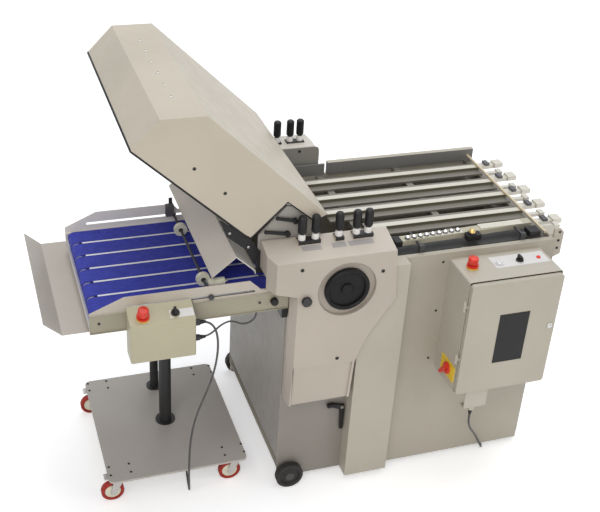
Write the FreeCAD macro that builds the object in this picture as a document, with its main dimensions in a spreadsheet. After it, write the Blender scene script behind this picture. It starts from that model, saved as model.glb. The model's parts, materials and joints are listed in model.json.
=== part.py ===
import FreeCAD, Part
import math
import os
import re
import Sketcher
from FreeCAD import Placement, Rotation, Vector

# Floor-standing paper folding machine: a folding unit in a cabinet, a register table on its right
# (+X), and a belt conveyor on its left (-X) that stands on a trolley.
# Millimetres and degrees. +Z is up, the operator stands on the -Y side, and the origin is on the
# floor under the middle of the machine's outer box.

doc = FreeCAD.newDocument("paper_folding_machine")
sheet = doc.addObject("Spreadsheet::Sheet", "Sizes")
nodes = []

AXES = {
    "X": Rotation(Vector(0, 1, 0), 90),
    "Y": Rotation(Vector(1, 0, 0), -90),
    "Z": Rotation(),
}
FACING = {"X": Vector(1, 0, 0), "Y": Vector(0, 1, 0), "Z": Vector(0, 0, 1)}


# Driving sizes. One that ends in _from is the distance of a place from its datum, given in DATUMS.
SIZES = {
    # main frame
    "sheet_wall": 2, "running_fit": 0.05, "clearance": 0.3, "x_frame_left": -144, "frame_length": 952,
    "frame_side": 322, "side_plate": 12, "frame_bottom": 30, "frame_top": 893, "x_far_rail": 207,
    "far_rail_depth": 20, "pan_bottom": 60, "pan": 4, "main_wheel": 100, "main_wheel_width": 30,
    "axle": 16, "wheel_gap": 8, "gable": 8, "x_hinge": -50, "hinge_rod": 12, "foot_disc": 50,
    "foot_height": 8, "foot_stem": 16, "x_shaft": 33, "shaft": 16, "fold_roller": 60, "roller_gap": 0.6,
    "journal": 24, "far_rail_top_from": 49, "z_hinge_from": 187, "z_shaft_from": -45,
    "x_wheel_axle_from": 37, "y_gable_from": 43, "x_foot_from": -46, "y_foot_from": -37,
    "x_gable_foot": -128, "x_gable_right": 194, "x_gable_step": -8, "x_gable_peak": -148,
    "x_gable_left": -236, "z_gable_foot_from": -113, "z_gable_deck_from": 45, "z_gable_peak_from": 219,
    "z_gable_shoulder_from": 123, "z_gable_lobe_from": -13, "x_block_left": -124, "x_block_right": 142,
    "tie_height": 40, "z_left_tie_from": -193, "z_right_tie_from": -93, "z_block_from": -93,
    # cabinet sheets
    "x_pillar_left": 94, "x_pillar_right": 254, "panel_joint": 0.5, "panel_depth": 20,
    "pillar_depth": 58, "panel_bottom": 22, "access_bottom": 25, "left_sheet_bottom": 110,
    "far_sheet_bottom": 60, "post_width": 13, "post_depth": 40, "x_floor_lever": 78,
    "z_floor_lever": 313, "floor_lever_pin": 12, "floor_lever_stand": 14, "panel_top_from": 12,
    "access_top_from": -117, "far_sheet_top_from": -5, "right_sheet_top_from": -25,
    "x_cover_top_right": 194, "x_cover_waist": 208, "x_cover_knee": 122, "x_cover_shin": 84,
    "x_cover_left": -206, "x_cover_column": -133, "x_cover_foot": 76, "cover_taper": 14,
    "cover_joint": 3, "cover_wall": 8, "handwheel": 151, "dish": 199, "dish_depth": 15, "box_recess": 6,
    "z_cover_top_from": 79, "z_cover_waist_from": -103, "z_cover_knee_from": -238,
    "z_cover_shin_from": -341, "z_cover_shoulder_from": -53, "z_cover_chin_from": -31,
    "z_cover_foot_from": -490, "z_cover_deck_from": 12, "z_deck_back_from": 107, "z_deck_seam_from": 89,
    "cover_front_from": 70, "cover_seam_from": 30, "cover_back_from": 2, "y_deck_back_from": 39,
    # housing covers and gap knobs
    "knob_land": 30, "knob": 28, "knob_height": 82, "knob_shaft": 8, "knob_bore_depth": 15,
    "x_knob_a": -102, "x_knob_b": -57, "x_knob_c": 22, "x_knob_d": 82, "x_knob_e": 122, "x_knob_f": 27,
    "x_knob_g": 77, "x_knob_h": 115, "x_lock_knob": -105, "lock_knob": 33, "lock_knob_height": 16,
    "x_far_cover_left": -215, "x_far_cover_right": 177, "far_cover_bevel": 22, "far_cover_wall": 3,
    "y_near_knob_from": 16, "y_far_knob_from": 55, "far_cover_outer_from": 118,
    "near_land_top_from": 109, "far_land_top_from": 117, "z_lock_knob_from": -67,
    "far_cover_bottom_from": -333, "far_cover_top_from": 112,
    # handwheel and fold rollers
    "handwheel_rim": 14, "handwheel_depth": 22, "handwheel_web": 8, "handwheel_hub": 40,
    "roller_end_play": 0.5, "roller_shoulder": 6,
    # hood, guard and fold plate
    "x_hood_peak_left": -544, "x_hood_peak_right": -405, "x_hood_brow": -631, "x_hood_chin": -283,
    "x_hood_tip": -264, "x_hood_notch": -148, "x_hood_heel": -54, "x_hood_toe": -12,
    "x_guard_left": -385, "x_guard_ridge": -307, "guard_drop": 3, "x_fold_mouth": -80, "fold_angle": 43,
    "fold_length": 470, "fold_rail": 22, "fold_rail_width": 10, "fold_slat": 22, "fold_slat_depth": 6,
    "fold_slat_inset": 34,
    "fold_bar": 25, "z_hood_peak_from": 547, "z_hood_brow_from": 456, "z_hood_chin_from": 134,
    "z_hood_tip_from": 121, "z_hood_notch_from": 238, "z_hood_heel_from": 156, "z_hood_toe_from": 176,
    "z_guard_left_from": -6, "z_guard_ridge_from": 59, "z_guard_right_from": 0, "z_fold_mouth_from": 92,
    "y_hood_near_from": 34, "y_guard_near_from": 37, "y_hood_far_from": 190, "y_guard_far_from": 29,
    # register table and side guide
    "y_bar_b": -8, "y_bar_c": 95, "bar_width": 88, "bar_base": 7, "bar_ridge": 24, "bar_height": 19,
    "x_bar_left": 94, "x_first_bar_left": 197, "cross_depth": 20, "x_cross_a": 162, "x_cross_b": 472,
    "cross_width": 25, "end_rod": 10, "stub_width": 28, "stub_depth": 14, "stub_head": 35,
    "y_stub_c": 38, "guide_rod": 10, "guide_height": 18, "guide_width": 34, "x_guide_left": 262,
    "x_guide_bend": 497, "x_guide_rod_a": 317, "y_bar_a_from": 192, "y_end_rod_near_from": 12,
    "y_stub_a_from": 132, "y_stub_b_from": 249, "y_guide_left_from": 60, "y_guide_bend_from": 67,
    "y_guide_right_from": 81, "y_guide_rod_end_from": 107, "y_bar_d_from": -105,
    "y_end_rod_far_from": -20, "x_shelf_left": 200, "shelf": 4,
    "y_shelf_near_from": 22, "y_shelf_far_from": 107, "y_stub_d_from": -175, "y_stub_e_from": -65,
    "x_bar_right_from": -18,
    "x_stub_right_from": 104, "x_guide_right_from": -51, "x_guide_rod_b_from": -116,
    # electric box and its controls
    "door_depth": 18, "door_inset": 3, "door_corner": 10, "box_corner": 8, "control_bore": 22,
    "stop_collar": 40, "stop_collar_height": 12, "stop_head": 34, "stop_head_height": 16,
    "stop_travel": 5, "bezel": 30, "bezel_height": 4, "start_height": 8, "selector_disc": 26,
    "selector_disc_height": 5, "selector_bar": 8, "selector_bar_height": 12, "control_depth": 20,
    "hinge_pin": 6, "hinge_barrel": 12, "hinge_length": 36, "switch_plate": 4, "switch_plate_width": 96,
    "switch_plate_height": 60, "switch_disc": 44, "switch_disc_depth": 6, "switch_grip": 62,
    "switch_grip_width": 12, "switch_grip_depth": 14, "switch_shaft": 12, "switch_tilt": 35,
    "bracket_drop": 87, "bracket_wall": 3, "bracket_reach": 30, "gland": 22, "gland_length": 18,
    "x_box_left_from": -394, "x_box_right_from": -52, "box_bottom_from": -460, "box_top_from": -13,
    "box_front_from": 172, "y_controls_from": -88, "y_switch_from": -118, "x_box_stop_from": 48,
    "x_start_from": 148, "x_bracket_left_from": 57, "x_bracket_right_from": 142, "x_mains_from": 95,
    "x_speed_from": -119, "z_hinge_low_from": 127, "z_switch_from": 68, "z_hinge_high_from": -110,
    # levers
    "lever_ball": 13, "lever_rod": 7, "lever_hub": 18, "lever_pin": 10, "lever_thick": 12,
    "x_lever_a": -120, "x_lever_a_ball": -178, "x_lever_b": -143, "x_lever_b_ball": -214,
    "floor_lever_thick": 8, "x_floor_grip": 46, "z_floor_grip": 325, "x_floor_rod": 82,
    "z_floor_rod": 214, "floor_rod_width": 12, "y_lever_from": 36, "z_lever_a_from": 167,
    "z_lever_a_ball_from": 182, "z_lever_b_from": 123, "z_lever_b_ball_from": 137,
    # conveyor
    "conveyor_length": 632, "conveyor_width": 533, "rail_wall": 2, "rail_flange": 6, "press_slot": 9,
    "belt_wall": 1.7, "belt_count": 6, "belt_width": 74, "conveyor_roller": 40, "conveyor_journal": 16,
    "web": 6, "edge_belt": 22, "bed_plate": 3.7, "channel_width": 70, "channel_depth": 40,
    "cross_bar_depth": 10, "cross_bar_width": 15, "dock_width": 20, "press_rod": 8.6,
    "press_wheel_width": 14, "press_nut": 18,
    "tray_wall": 2, "x_rail_right_from": -4, "y_near_rail_from": -22, "rail_bottom_from": -57,
    "rail_step_from": 11, "near_fence_top_from": 62, "far_fence_top_from": 65, "z_press_from": 23,
    "post_top_from": 88, "tray_bottom_from": -87, "tray_lip_top_from": -35, "x_fence_left_from": 107,
    "x_near_slot_from": 111, "x_far_slot_from": 73, "x_end_roller_from": 29,
    "x_bed_left_from": 52, "x_channel_from": 294, "x_cross_bar_from": 2, "x_tray_inner_from": 14,
    "x_tray_bend_from": -78, "x_tray_lip_from": -131,
    "x_near_fence_right_from": -130, "x_slot_right_from": -113, "x_drive_roller_from": -50,
    "x_bed_right_from": -75, "x_press_from": -255, "x_post_from": -265, "belt_top_from": -58,
    "y_belts_near_from": 39, "y_press_wheel_a_from": 104, "y_tray_near_from": 54,
    "y_belts_far_from": -8, "y_press_wheel_b_from": -107, "y_tray_far_from": 83,
    # conveyor control box
    "control_box_depth": 68, "panel_tilt": 20, "control_setback": 24, "control_gland": 20,
    "control_gland_length": 17, "control_corner": 6, "x_control_left_from": 111,
    "x_control_right_from": 314, "control_bottom_from": -137, "control_top_from": 3,
    "x_conveyor_stop_from": 43, "x_conveyor_speed_from": -61, "z_gland_high_from": 99,
    "z_gland_low_from": 42, "y_gland_from": -42,
    # stand and casters
    "plate_top": 122, "stand_plate": 8, "plate_corner": 20, "column_near": 44, "column_far": 32,
    "column_flange": 80, "column_flange_height": 6, "swivel_pad": 54, "swivel_pad_height": 4,
    "kingpin": 14, "kingpin_length": 20, "caster_wheel": 80, "caster_width": 26, "caster_trail": 26,
    "fork_wall": 3, "fork_gap": 2, "caster_axle": 10, "pedal_length": 34, "pedal_width": 30,
    "pedal_height": 4, "x_plate_left_from": 42, "x_plate_right_from": -102, "y_plate_near_from": 39,
    "y_column_near_from": 319, "y_plate_far_from": 75, "y_column_far_from": -11,
    "x_caster_left_from": 42, "x_caster_right_from": -27, "y_caster_near_from": 52,
    "y_caster_far_from": -32,
    # cables
    "control_cord": 7, "link_cord": 6, "mains_cord": 8, "x_control_coil": -461.7,
    "y_control_coil": -88.1, "control_coil_turn": 77, "x_mains_coil": 742, "y_mains_coil": -172.7,
    "mains_coil_turn": 88, "coil_layers": 3, "control_plug": 24, "mains_plug": 44,
    "control_plug_length": 50, "mains_plug_length": 80,
}
# Places that follow from other sizes.
PLACES = {
    "x_frame_right": "x_frame_left + frame_length", "x_rail_left": "x_rail_right - conveyor_length",
    "y_far_rail": "y_near_rail + conveyor_width", "x_column": "x_channel",
}
# Each datum, and the places that are measured from it.
DATUMS = {
    "frame_top": ["far_rail_top", "z_hinge", "z_shaft", "z_gable_foot", "z_gable_deck", "z_gable_peak",
        "z_gable_shoulder", "z_gable_lobe", "z_left_tie", "z_right_tie", "z_block", "panel_top",
        "access_top", "far_sheet_top", "right_sheet_top", "z_cover_top", "z_cover_waist", "z_cover_knee",
        "z_cover_shin", "z_cover_shoulder", "z_cover_chin", "z_cover_foot", "z_cover_deck",
        "z_deck_back", "z_deck_seam", "near_land_top", "far_land_top", "z_lock_knob", "far_cover_bottom",
        "far_cover_top", "z_hood_peak", "z_hood_brow", "z_hood_chin", "z_hood_tip", "z_hood_notch",
        "z_hood_heel", "z_hood_toe", "z_guard_left", "z_guard_ridge", "z_guard_right", "z_fold_mouth",
        "box_bottom", "box_top", "z_lever_a", "z_lever_a_ball", "z_lever_b", "z_lever_b_ball",
        "belt_top"],
    "x_frame_left": ["x_wheel_axle", "x_rail_right"],
    "-frame_side": ["y_gable", "y_deck_back", "y_near_knob", "y_hood_near", "y_guard_near", "y_bar_a",
        "y_end_rod_near", "y_stub_a", "y_stub_b", "y_guide_left", "y_guide_bend", "y_guide_right",
        "y_guide_rod_end", "y_shelf_near", "y_shelf_far", "y_controls", "y_switch", "y_lever",
        "y_near_rail"],
    "x_frame_right": ["x_foot", "x_bar_right", "x_stub_right", "x_guide_right", "x_guide_rod_b",
        "x_box_left", "x_box_right"],
    "frame_side": ["y_foot", "cover_front", "cover_seam", "cover_back", "y_far_knob", "far_cover_outer",
        "y_hood_far", "y_guard_far", "y_bar_d", "y_end_rod_far", "y_stub_d", "y_stub_e", "box_front"],
    "x_box_left": ["x_box_stop", "x_start", "x_bracket_left", "x_bracket_right", "x_mains"],
    "x_box_right": ["x_speed"],
    "box_bottom": ["z_hinge_low", "z_switch"],
    "box_top": ["z_hinge_high"],
    "belt_top": ["rail_bottom", "rail_step", "near_fence_top", "far_fence_top", "z_press", "post_top",
        "tray_bottom", "tray_lip_top", "control_bottom", "control_top"],
    "x_rail_left": ["x_fence_left", "x_near_slot", "x_far_slot", "x_end_roller", "x_bed_left",
        "x_channel", "x_cross_bar", "x_tray_inner", "x_tray_bend", "x_tray_lip", "x_control_left",
        "x_control_right", "x_plate_left"],
    "x_rail_right": ["x_near_fence_right", "x_slot_right", "x_drive_roller", "x_bed_right", "x_press",
        "x_post", "x_plate_right"],
    "y_near_rail": ["y_belts_near", "y_press_wheel_a", "y_tray_near", "y_gland", "y_plate_near",
        "y_column_near"],
    "y_far_rail": ["y_belts_far", "y_press_wheel_b", "y_tray_far", "y_plate_far", "y_column_far"],
    "x_control_left": ["x_conveyor_stop"],
    "x_control_right": ["x_conveyor_speed"],
    "control_bottom": ["z_gland_high", "z_gland_low"],
    "x_plate_left": ["x_caster_left"],
    "x_plate_right": ["x_caster_right"],
    "y_plate_near": ["y_caster_near"],
    "y_plate_far": ["y_caster_far"],
}
for datum, followers in DATUMS.items():
    for name in followers:
        PLACES[name] = "%s + %s_from" % (datum, name)
for row, (name, number) in enumerate(SIZES.items(), 1):
    sheet.set("A%d" % row, name)
    sheet.set("B%d" % row, str(number))
    sheet.setAlias("B%d" % row, name)
sheet.recompute()


def bound(text):
    """Writes an expression so that its names are cells of the sheet."""
    def swap(found):
        word = found.group(0)
        if word in PLACES:
            return "(%s)" % bound(PLACES[word])
        return "Sizes." + word if word in SIZES else word
    return re.sub(r"[A-Za-z_][A-Za-z_0-9]*", swap, str(text))


def value(text):
    """The number that an expression comes to."""
    result = sheet.evalExpression(bound(text))
    return float(getattr(result, "Value", result))


def place(thing, x, y, z):
    """Binds where an object's own origin lies."""
    for axis, text in zip("xyz", (x, y, z)):
        thing.setExpression("Placement.Base." + axis, bound(text))
    return thing


def node(label, thing):
    """Marks a finished sub-part, which gets a file of its own."""
    thing.Label = label
    nodes.append(thing)
    return thing


def box(name, x, y, z):
    """A block; x, y and z are its lower and upper sides."""
    block = doc.addObject("Part::Box", name)
    for side, (low, high) in zip(("Length", "Width", "Height"), (x, y, z)):
        block.setExpression(side, bound("(%s) - (%s)" % (high, low)))
    return place(block, x[0], y[0], z[0])


def rod(name, radius, x, y, z, length, axis="Z"):
    """A round bar that starts at a point and runs along +X, +Y or +Z."""
    bar = doc.addObject("Part::Cylinder", name)
    bar.setExpression("Radius", bound(radius))
    bar.setExpression("Height", bound(length))
    bar.Placement = Placement(Vector(), AXES[axis])
    return place(bar, x, y, z)


def fuse(name, *things):
    """One solid from several."""
    whole = doc.addObject("Part::MultiFuse", name)
    whole.Shapes = list(things)
    whole.Refine = True
    return whole


def cut(name, base, *tools):
    """The base without the tools."""
    tool = tools[0] if len(tools) == 1 else fuse(name + "_tool", *tools)
    rest = doc.addObject("Part::Cut", name)
    rest.Base = base
    rest.Tool = tool
    rest.Refine = True
    return rest


def group(name, *things):
    """Separate solids in one sub-part."""
    several = doc.addObject("Part::Compound", name)
    several.Links = list(things)
    return several


class Piece:
    """A PartDesign body, built from sketches on its own origin planes."""

    def __init__(self, name, x="0", y="0", z="0", axis="Z"):
        self.body = doc.addObject("PartDesign::Body", name)
        self.body.Placement = Placement(Vector(), AXES[axis])
        place(self.body, x, y, z)
        self.name = name
        self.steps = 0
        self.tip = None

    def add(self, kind):
        self.steps += 1
        step = self.body.newObject(kind, "%s_%s_%d" % (self.name, kind.split("::")[1], self.steps))
        return step

    def sketch(self, plane, offset, outlines):
        """A sketch on XY, XZ or YZ. An outline is a list of corners, or (u, v, radius) for a circle."""
        drawing = self.add("Sketcher::SketchObject")
        role = plane + "_Plane"
        origin = [part for part in self.body.Origin.OriginFeatures if part.Role == role][0]
        drawing.AttachmentSupport = [(origin, "")]
        drawing.MapMode = "FlatFace"
        drawing.setExpression("AttachmentOffset.Base.z", bound(offset))
        for outline in outlines:
            if isinstance(outline, tuple):
                self.draw_circle(drawing, *outline)
            else:
                self.draw_corners(drawing, outline)
        return drawing

    def pin(self, drawing, kind, item, point, text):
        """Holds one coordinate of a point to an expression."""
        rule = drawing.addConstraint(Sketcher.Constraint(kind, item, point, value(text)))
        drawing.setExpression("Constraints[%d]" % rule, bound(text))

    def draw_circle(self, drawing, u, v, radius):
        circle = Part.Circle(Vector(value(u), value(v), 0), Vector(0, 0, 1), value(radius))
        item = drawing.addGeometry(circle)
        self.pin(drawing, "DistanceX", item, 3, u)
        self.pin(drawing, "DistanceY", item, 3, v)
        rule = drawing.addConstraint(Sketcher.Constraint("Radius", item, value(radius)))
        drawing.setExpression("Constraints[%d]" % rule, bound(radius))

    def draw_corners(self, drawing, corners):
        spots = [Vector(value(u), value(v), 0) for u, v in corners]
        count = len(spots)
        lines = [drawing.addGeometry(Part.LineSegment(spots[i], spots[(i + 1) % count]))
                 for i in range(count)]
        for i in range(count):
            following = lines[(i + 1) % count]
            drawing.addConstraint(Sketcher.Constraint("Coincident", lines[i], 2, following, 1))
        for line, (u, v) in zip(lines, corners):
            self.pin(drawing, "DistanceX", line, 1, u)
            self.pin(drawing, "DistanceY", line, 1, v)

    def pad(self, plane, low, high, *outlines):
        """Fills outlines between two distances along the third axis."""
        offset = "-(%s)" % high if plane == "XZ" else low
        step = self.add("PartDesign::Pad")
        step.Profile = self.sketch(plane, offset, outlines)
        step.setExpression("Length", bound("(%s) - (%s)" % (high, low)))
        self.tip = step
        return self

    def pocket(self, plane, low, high, *outlines):
        """Removes outlines between two distances along the third axis."""
        offset = "-(%s)" % high if plane == "XZ" else low
        step = self.add("PartDesign::Pocket")
        step.Profile = self.sketch(plane, offset, outlines)
        step.setExpression("Length", bound("(%s) - (%s)" % (high, low)))
        step.Reversed = True
        self.tip = step
        return self

    def loft(self, plane, *sections):
        """Joins outlines that lie at different distances; a section is (distance, corners)."""
        step = self.add("PartDesign::AdditiveLoft")
        drawings = []
        for distance, corners in sections:
            offset = "-(%s)" % distance if plane == "XZ" else distance
            drawings.append(self.sketch(plane, offset, [corners]))
        step.Profile = drawings[0]
        step.Sections = drawings[1:]
        step.Ruled = True
        self.tip = step
        return self

    def turn(self, corners):
        """Turns an outline of (radius, height) pairs round the body's own Z axis."""
        step = self.add("PartDesign::Revolution")
        drawing = self.sketch("XZ", "0", [corners])
        step.Profile = drawing
        step.ReferenceAxis = (drawing, ["V_Axis"])
        step.Angle = 360
        self.tip = step
        return self

    def around(self, count):
        """Repeats the last feature evenly round the body's own Z axis."""
        step = self.add("PartDesign::PolarPattern")
        step.Originals = [self.tip]
        origin = [part for part in self.body.Origin.OriginFeatures if part.Role == "Z_Axis"][0]
        step.Axis = (origin, [""])
        step.Angle = 360
        step.Occurrences = count
        self.body.Tip = step
        self.tip = step
        return self

    def along(self, axis, length, count):
        """Repeats the last feature in a row that is length long."""
        step = self.add("PartDesign::LinearPattern")
        step.Originals = [self.tip]
        origin = [part for part in self.body.Origin.OriginFeatures if part.Role == axis + "_Axis"][0]
        step.Direction = (origin, [""])
        step.setExpression("Length", bound(length))
        step.Occurrences = count
        self.body.Tip = step
        self.tip = step
        return self

    def hollow(self, wall, open_side):
        """Leaves a wall of sheet; open_side picks, by its normal, each face that is left out."""
        doc.recompute()
        faces = [i + 1 for i, face in enumerate(self.tip.Shape.Faces) if open_side(face.normalAt(0, 0))]
        step = self.add("PartDesign::Thickness")
        step.Base = (self.tip, ["Face%d" % i for i in faces])
        step.setExpression("Value", bound(wall))
        step.Mode = 0
        step.Join = 1
        step.Reversed = True
        self.tip = step
        return self

    def dress(self, kind, size, picked):
        """Rounds (Fillet) or bevels (Chamfer) the edges that picked says."""
        doc.recompute()
        edges = [i + 1 for i, edge in enumerate(self.tip.Shape.Edges) if picked(edge)]
        step = self.add("PartDesign::" + kind)
        step.Base = (self.tip, ["Edge%d" % i for i in edges])
        step.setExpression("Radius" if kind == "Fillet" else "Size", bound(size))
        self.tip = step
        return self


def runs_along(edge, axis):
    """True for a straight edge along an axis."""
    if edge.Curve.TypeId != "Part::GeomLine":
        return False
    return abs(edge.Curve.Direction.dot(FACING[axis])) > 0.999


def turned(name, x, y, z, corners, axis="Z"):
    """A turned piece as a body that stands at a point."""
    return Piece(name, x, y, z, axis).turn(corners).body


# ---------------------------------------------------------------- main frame

GABLE = [
    ("x_gable_foot", "z_gable_foot"), ("x_gable_right", "z_gable_foot"),
    ("x_gable_right", "z_gable_deck"), ("x_gable_step", "z_gable_deck"),
    ("x_hinge - 2", "z_hinge - 40"), ("x_hinge + 10", "z_hinge - 10"), ("x_hinge + 10", "z_hinge + 6"),
    ("x_hinge - 18", "z_hinge + 18"), ("x_gable_peak", "z_gable_peak"),
    ("x_gable_left", "z_gable_shoulder"), ("x_gable_left", "z_gable_lobe"), ("x_gable_foot", "z_gable_lobe"),
]

# The fold rollers: 1 and 2 side by side, 3 above 2; each is a (x, z) pair.
ROLLER_PITCH = "(fold_roller + roller_gap)"
ROLLERS = [
    ("x_shaft", "z_shaft"),
    ("x_shaft - %s" % ROLLER_PITCH, "z_shaft"),
    ("x_shaft - %s" % ROLLER_PITCH, "z_shaft + %s" % ROLLER_PITCH),
]


def side_plates():
    """The two side plates, with the bores for the wheel axle and the handwheel shaft."""
    outline = [("x_frame_left", "frame_bottom"), ("x_frame_right", "frame_bottom"),
               ("x_frame_right", "frame_top"), ("x_frame_left", "frame_top")]
    axle_bore = ("x_wheel_axle", "main_wheel / 2", "axle / 2 + running_fit")
    shaft_bore = ("x_shaft", "z_shaft", "shaft / 2 + 4")
    near = Piece("near_side_plate")
    near.pad("XZ", "-frame_side", "-frame_side + side_plate", outline, axle_bore, shaft_bore)
    far = Piece("far_side_plate")
    far.pad("XZ", "frame_side - side_plate", "frame_side", outline, axle_bore)
    rail = box("far_top_rail", ("x_far_rail", "x_frame_right"), ("frame_side - far_rail_depth", "frame_side"),
               ("frame_top", "far_rail_top"))
    return [near.body, far.body, rail]


def gable_plates():
    """The two plates under the hood, with the bores for the fold rollers and the hood's hinge rod."""
    bores = [(x, z, "journal / 2 + running_fit") for x, z in ROLLERS]
    bores.append(("x_hinge", "z_hinge", "hinge_rod / 2 + running_fit"))
    near = Piece("near_gable")
    near.pad("XZ", "y_gable", "y_gable + gable", GABLE, *bores)
    far = Piece("far_gable")
    far.pad("XZ", "frame_side - side_plate - gable", "frame_side - side_plate", GABLE, *bores)
    return [near.body, far.body]


def frame_ties():
    """Pan, cross ties and the blocks between the near side plate and its gable."""
    inner = ("-frame_side + side_plate", "frame_side - side_plate")
    pan = box("base_pan", ("x_frame_left", "x_frame_right"), inner, ("pan_bottom", "pan_bottom + pan"))
    left = box("left_tie", ("x_frame_left", "x_frame_left + 20"), inner,
               ("z_left_tie", "z_left_tie + tie_height"))
    right = box("right_tie", ("x_frame_right - 40", "x_frame_right"), inner,
                ("z_right_tie", "z_right_tie + tie_height"))
    block_y = ("-frame_side + side_plate", "y_gable")
    near_blocks = [box("gable_block", (x, x + " + 40"), block_y, ("z_block", "z_block + 80"))
                   for x in ("x_block_left", "x_block_right")]
    guard_tie = box("guard_tie", ("x_gable_left - 6", "x_gable_left"),
                    ("y_gable", "frame_side - side_plate"), ("z_gable_lobe", "z_gable_lobe + 15"))
    return [pan, left, right, guard_tie] + near_blocks


def levelling_feet():
    """Two feet under the right end."""
    parts = []
    for side in ("-", ""):
        y = side + "y_foot"
        parts.append(rod("foot_disc", "foot_disc / 2", "x_foot", y, "0", "foot_height"))
        parts.append(rod("foot_stem", "foot_stem / 2", "x_foot", y, "foot_height",
                         "pan_bottom - foot_height"))
    return parts


def main_wheels():
    """Both large wheels on one axle across the machine."""
    half = "(frame_side + sheet_wall + wheel_gap)"
    z = "main_wheel / 2"
    bar = rod("wheel_axle", "axle / 2", "x_wheel_axle", "-" + half, z, "2 * " + half, "Y")
    profile = [("0", "0"), ("axle", "0"), ("axle", "3"), ("main_wheel / 2 - 16", "6"),
               ("main_wheel / 2 - 13", "0"), ("main_wheel / 2 - 4", "0"), ("main_wheel / 2", "4"),
               ("main_wheel / 2", "main_wheel_width - 4"), ("main_wheel / 2 - 4", "main_wheel_width"),
               ("main_wheel / 2 - 13", "main_wheel_width"), ("main_wheel / 2 - 16", "main_wheel_width - 6"),
               ("axle", "main_wheel_width - 3"), ("axle", "main_wheel_width"), ("0", "main_wheel_width")]
    near = turned("near_main_wheel", "x_wheel_axle", "-%s - main_wheel_width" % half, z, profile, "Y")
    far = turned("far_main_wheel", "x_wheel_axle", half, z, profile, "Y")
    return fuse("main_wheels_whole", bar, near, far)


node("main_wheels", main_wheels())

# ---------------------------------------------------------------- cabinet sheets


def near_side_panel():
    """A shallow pan of sheet on the near side plate, open towards the plate."""
    pan = Piece("side_pan")
    x = ("x_pillar_right + panel_joint", "x_frame_right + sheet_wall")
    z = ("panel_bottom", "panel_top")
    pan.pad("XZ", "-frame_side - panel_depth", "-frame_side",
            [(x[0], z[0]), (x[1], z[0]), (x[1], z[1]), (x[0], z[1])])
    pan.hollow("sheet_wall", lambda normal: normal.y > 0.5)
    return pan.body


def cabinet_wrap():
    """Sheets round the left end, far side and right end, with the low near-left access panel."""
    outer = "frame_side + sheet_wall"
    access = Piece("access_panel")
    access.pad("XZ", "-(%s)" % outer, "-frame_side",
               [("x_frame_left - 4", "access_bottom"), ("x_pillar_left", "access_bottom"),
                ("x_pillar_left", "access_top"), ("x_frame_left - 4", "access_top")],
               ("x_wheel_axle", "main_wheel / 2", "axle / 2 + 3"))
    left = box("left_sheet", ("x_frame_left - 4", "x_frame_left - 2"), ("-(%s)" % outer, outer),
               ("left_sheet_bottom", "access_top"))
    far = box("far_sheet", ("x_frame_left - 4", "x_frame_right + 4"), ("frame_side", outer),
              ("far_sheet_bottom", "far_sheet_top"))
    right = box("right_sheet", ("x_frame_right + 2", "x_frame_right + 4"), ("-frame_side", outer),
                ("far_sheet_bottom", "right_sheet_top"))
    post_sides = (("-frame_side", "-frame_side + post_depth"), ("frame_side - post_depth", "frame_side"))
    posts = [box("corner_post", ("x_frame_right + 4", "x_frame_right + 4 + post_width"), y,
                 ("frame_bottom", "right_sheet_top")) for y in post_sides]
    lever_post = rod("floor_lever_post", "floor_lever_pin / 2", "x_floor_lever",
                     "-(%s) - floor_lever_stand - 2" % outer, "z_floor_lever", "floor_lever_stand + 3", "Y")
    return fuse("cabinet_wrap_whole", access.body, left, far, right, lever_post, *posts)


# The right edge of the housing cover, which the pillar follows; (x, z) pairs from the top down.
COVER_EDGE = [("x_cover_top_right", "z_cover_top"), ("x_cover_waist", "z_cover_waist"),
              ("x_cover_knee", "z_cover_knee"), ("x_cover_shin", "z_cover_shin")]


def pillar_cover():
    """The tall pan beside the housing cover, notched to its edge with a small joint."""
    edge = [("%s + cover_joint" % x, z) for x, z in COVER_EDGE[1:]]
    outline = [("x_pillar_left + panel_joint", "access_bottom"), ("x_pillar_right", "access_bottom"),
               ("x_pillar_right", "panel_top"), ("x_cover_top_right + cover_joint + 6", "panel_top")]
    outline += edge[:2] + [("x_pillar_left + panel_joint", "z_cover_shin + 24")]
    pan = Piece("pillar_pan")
    pan.pad("XZ", "-frame_side - pillar_depth", "-frame_side", outline)
    pan.hollow("sheet_wall", lambda normal: normal.y > 0.5)
    return pan.body


node("near_side_panel", near_side_panel())
node("cabinet_wrap", cabinet_wrap())
node("pillar_cover", pillar_cover())

# ---------------------------------------------------------------- housing covers and gap knobs
NEAR_KNOBS = ["x_knob_a", "x_knob_b", "x_knob_c", "x_knob_d", "x_knob_e"]
FAR_KNOBS = ["x_knob_f", "x_knob_g", "x_knob_h"]


def knob_lands(name, first, last, y, bottom, top):
    """A raised land that carries the knobs from first to last."""
    return box(name, (first + " - knob_land / 2", last + " + knob_land / 2"),
               (y + " - knob_land / 2", y + " + knob_land / 2"), (bottom, top))


def knob_bores(names_x, y, top):
    return [rod("knob_bore", "knob_shaft / 2 + running_fit", x, y, "%s - knob_bore_depth" % top,
                "knob_bore_depth + 1") for x in names_x]


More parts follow.
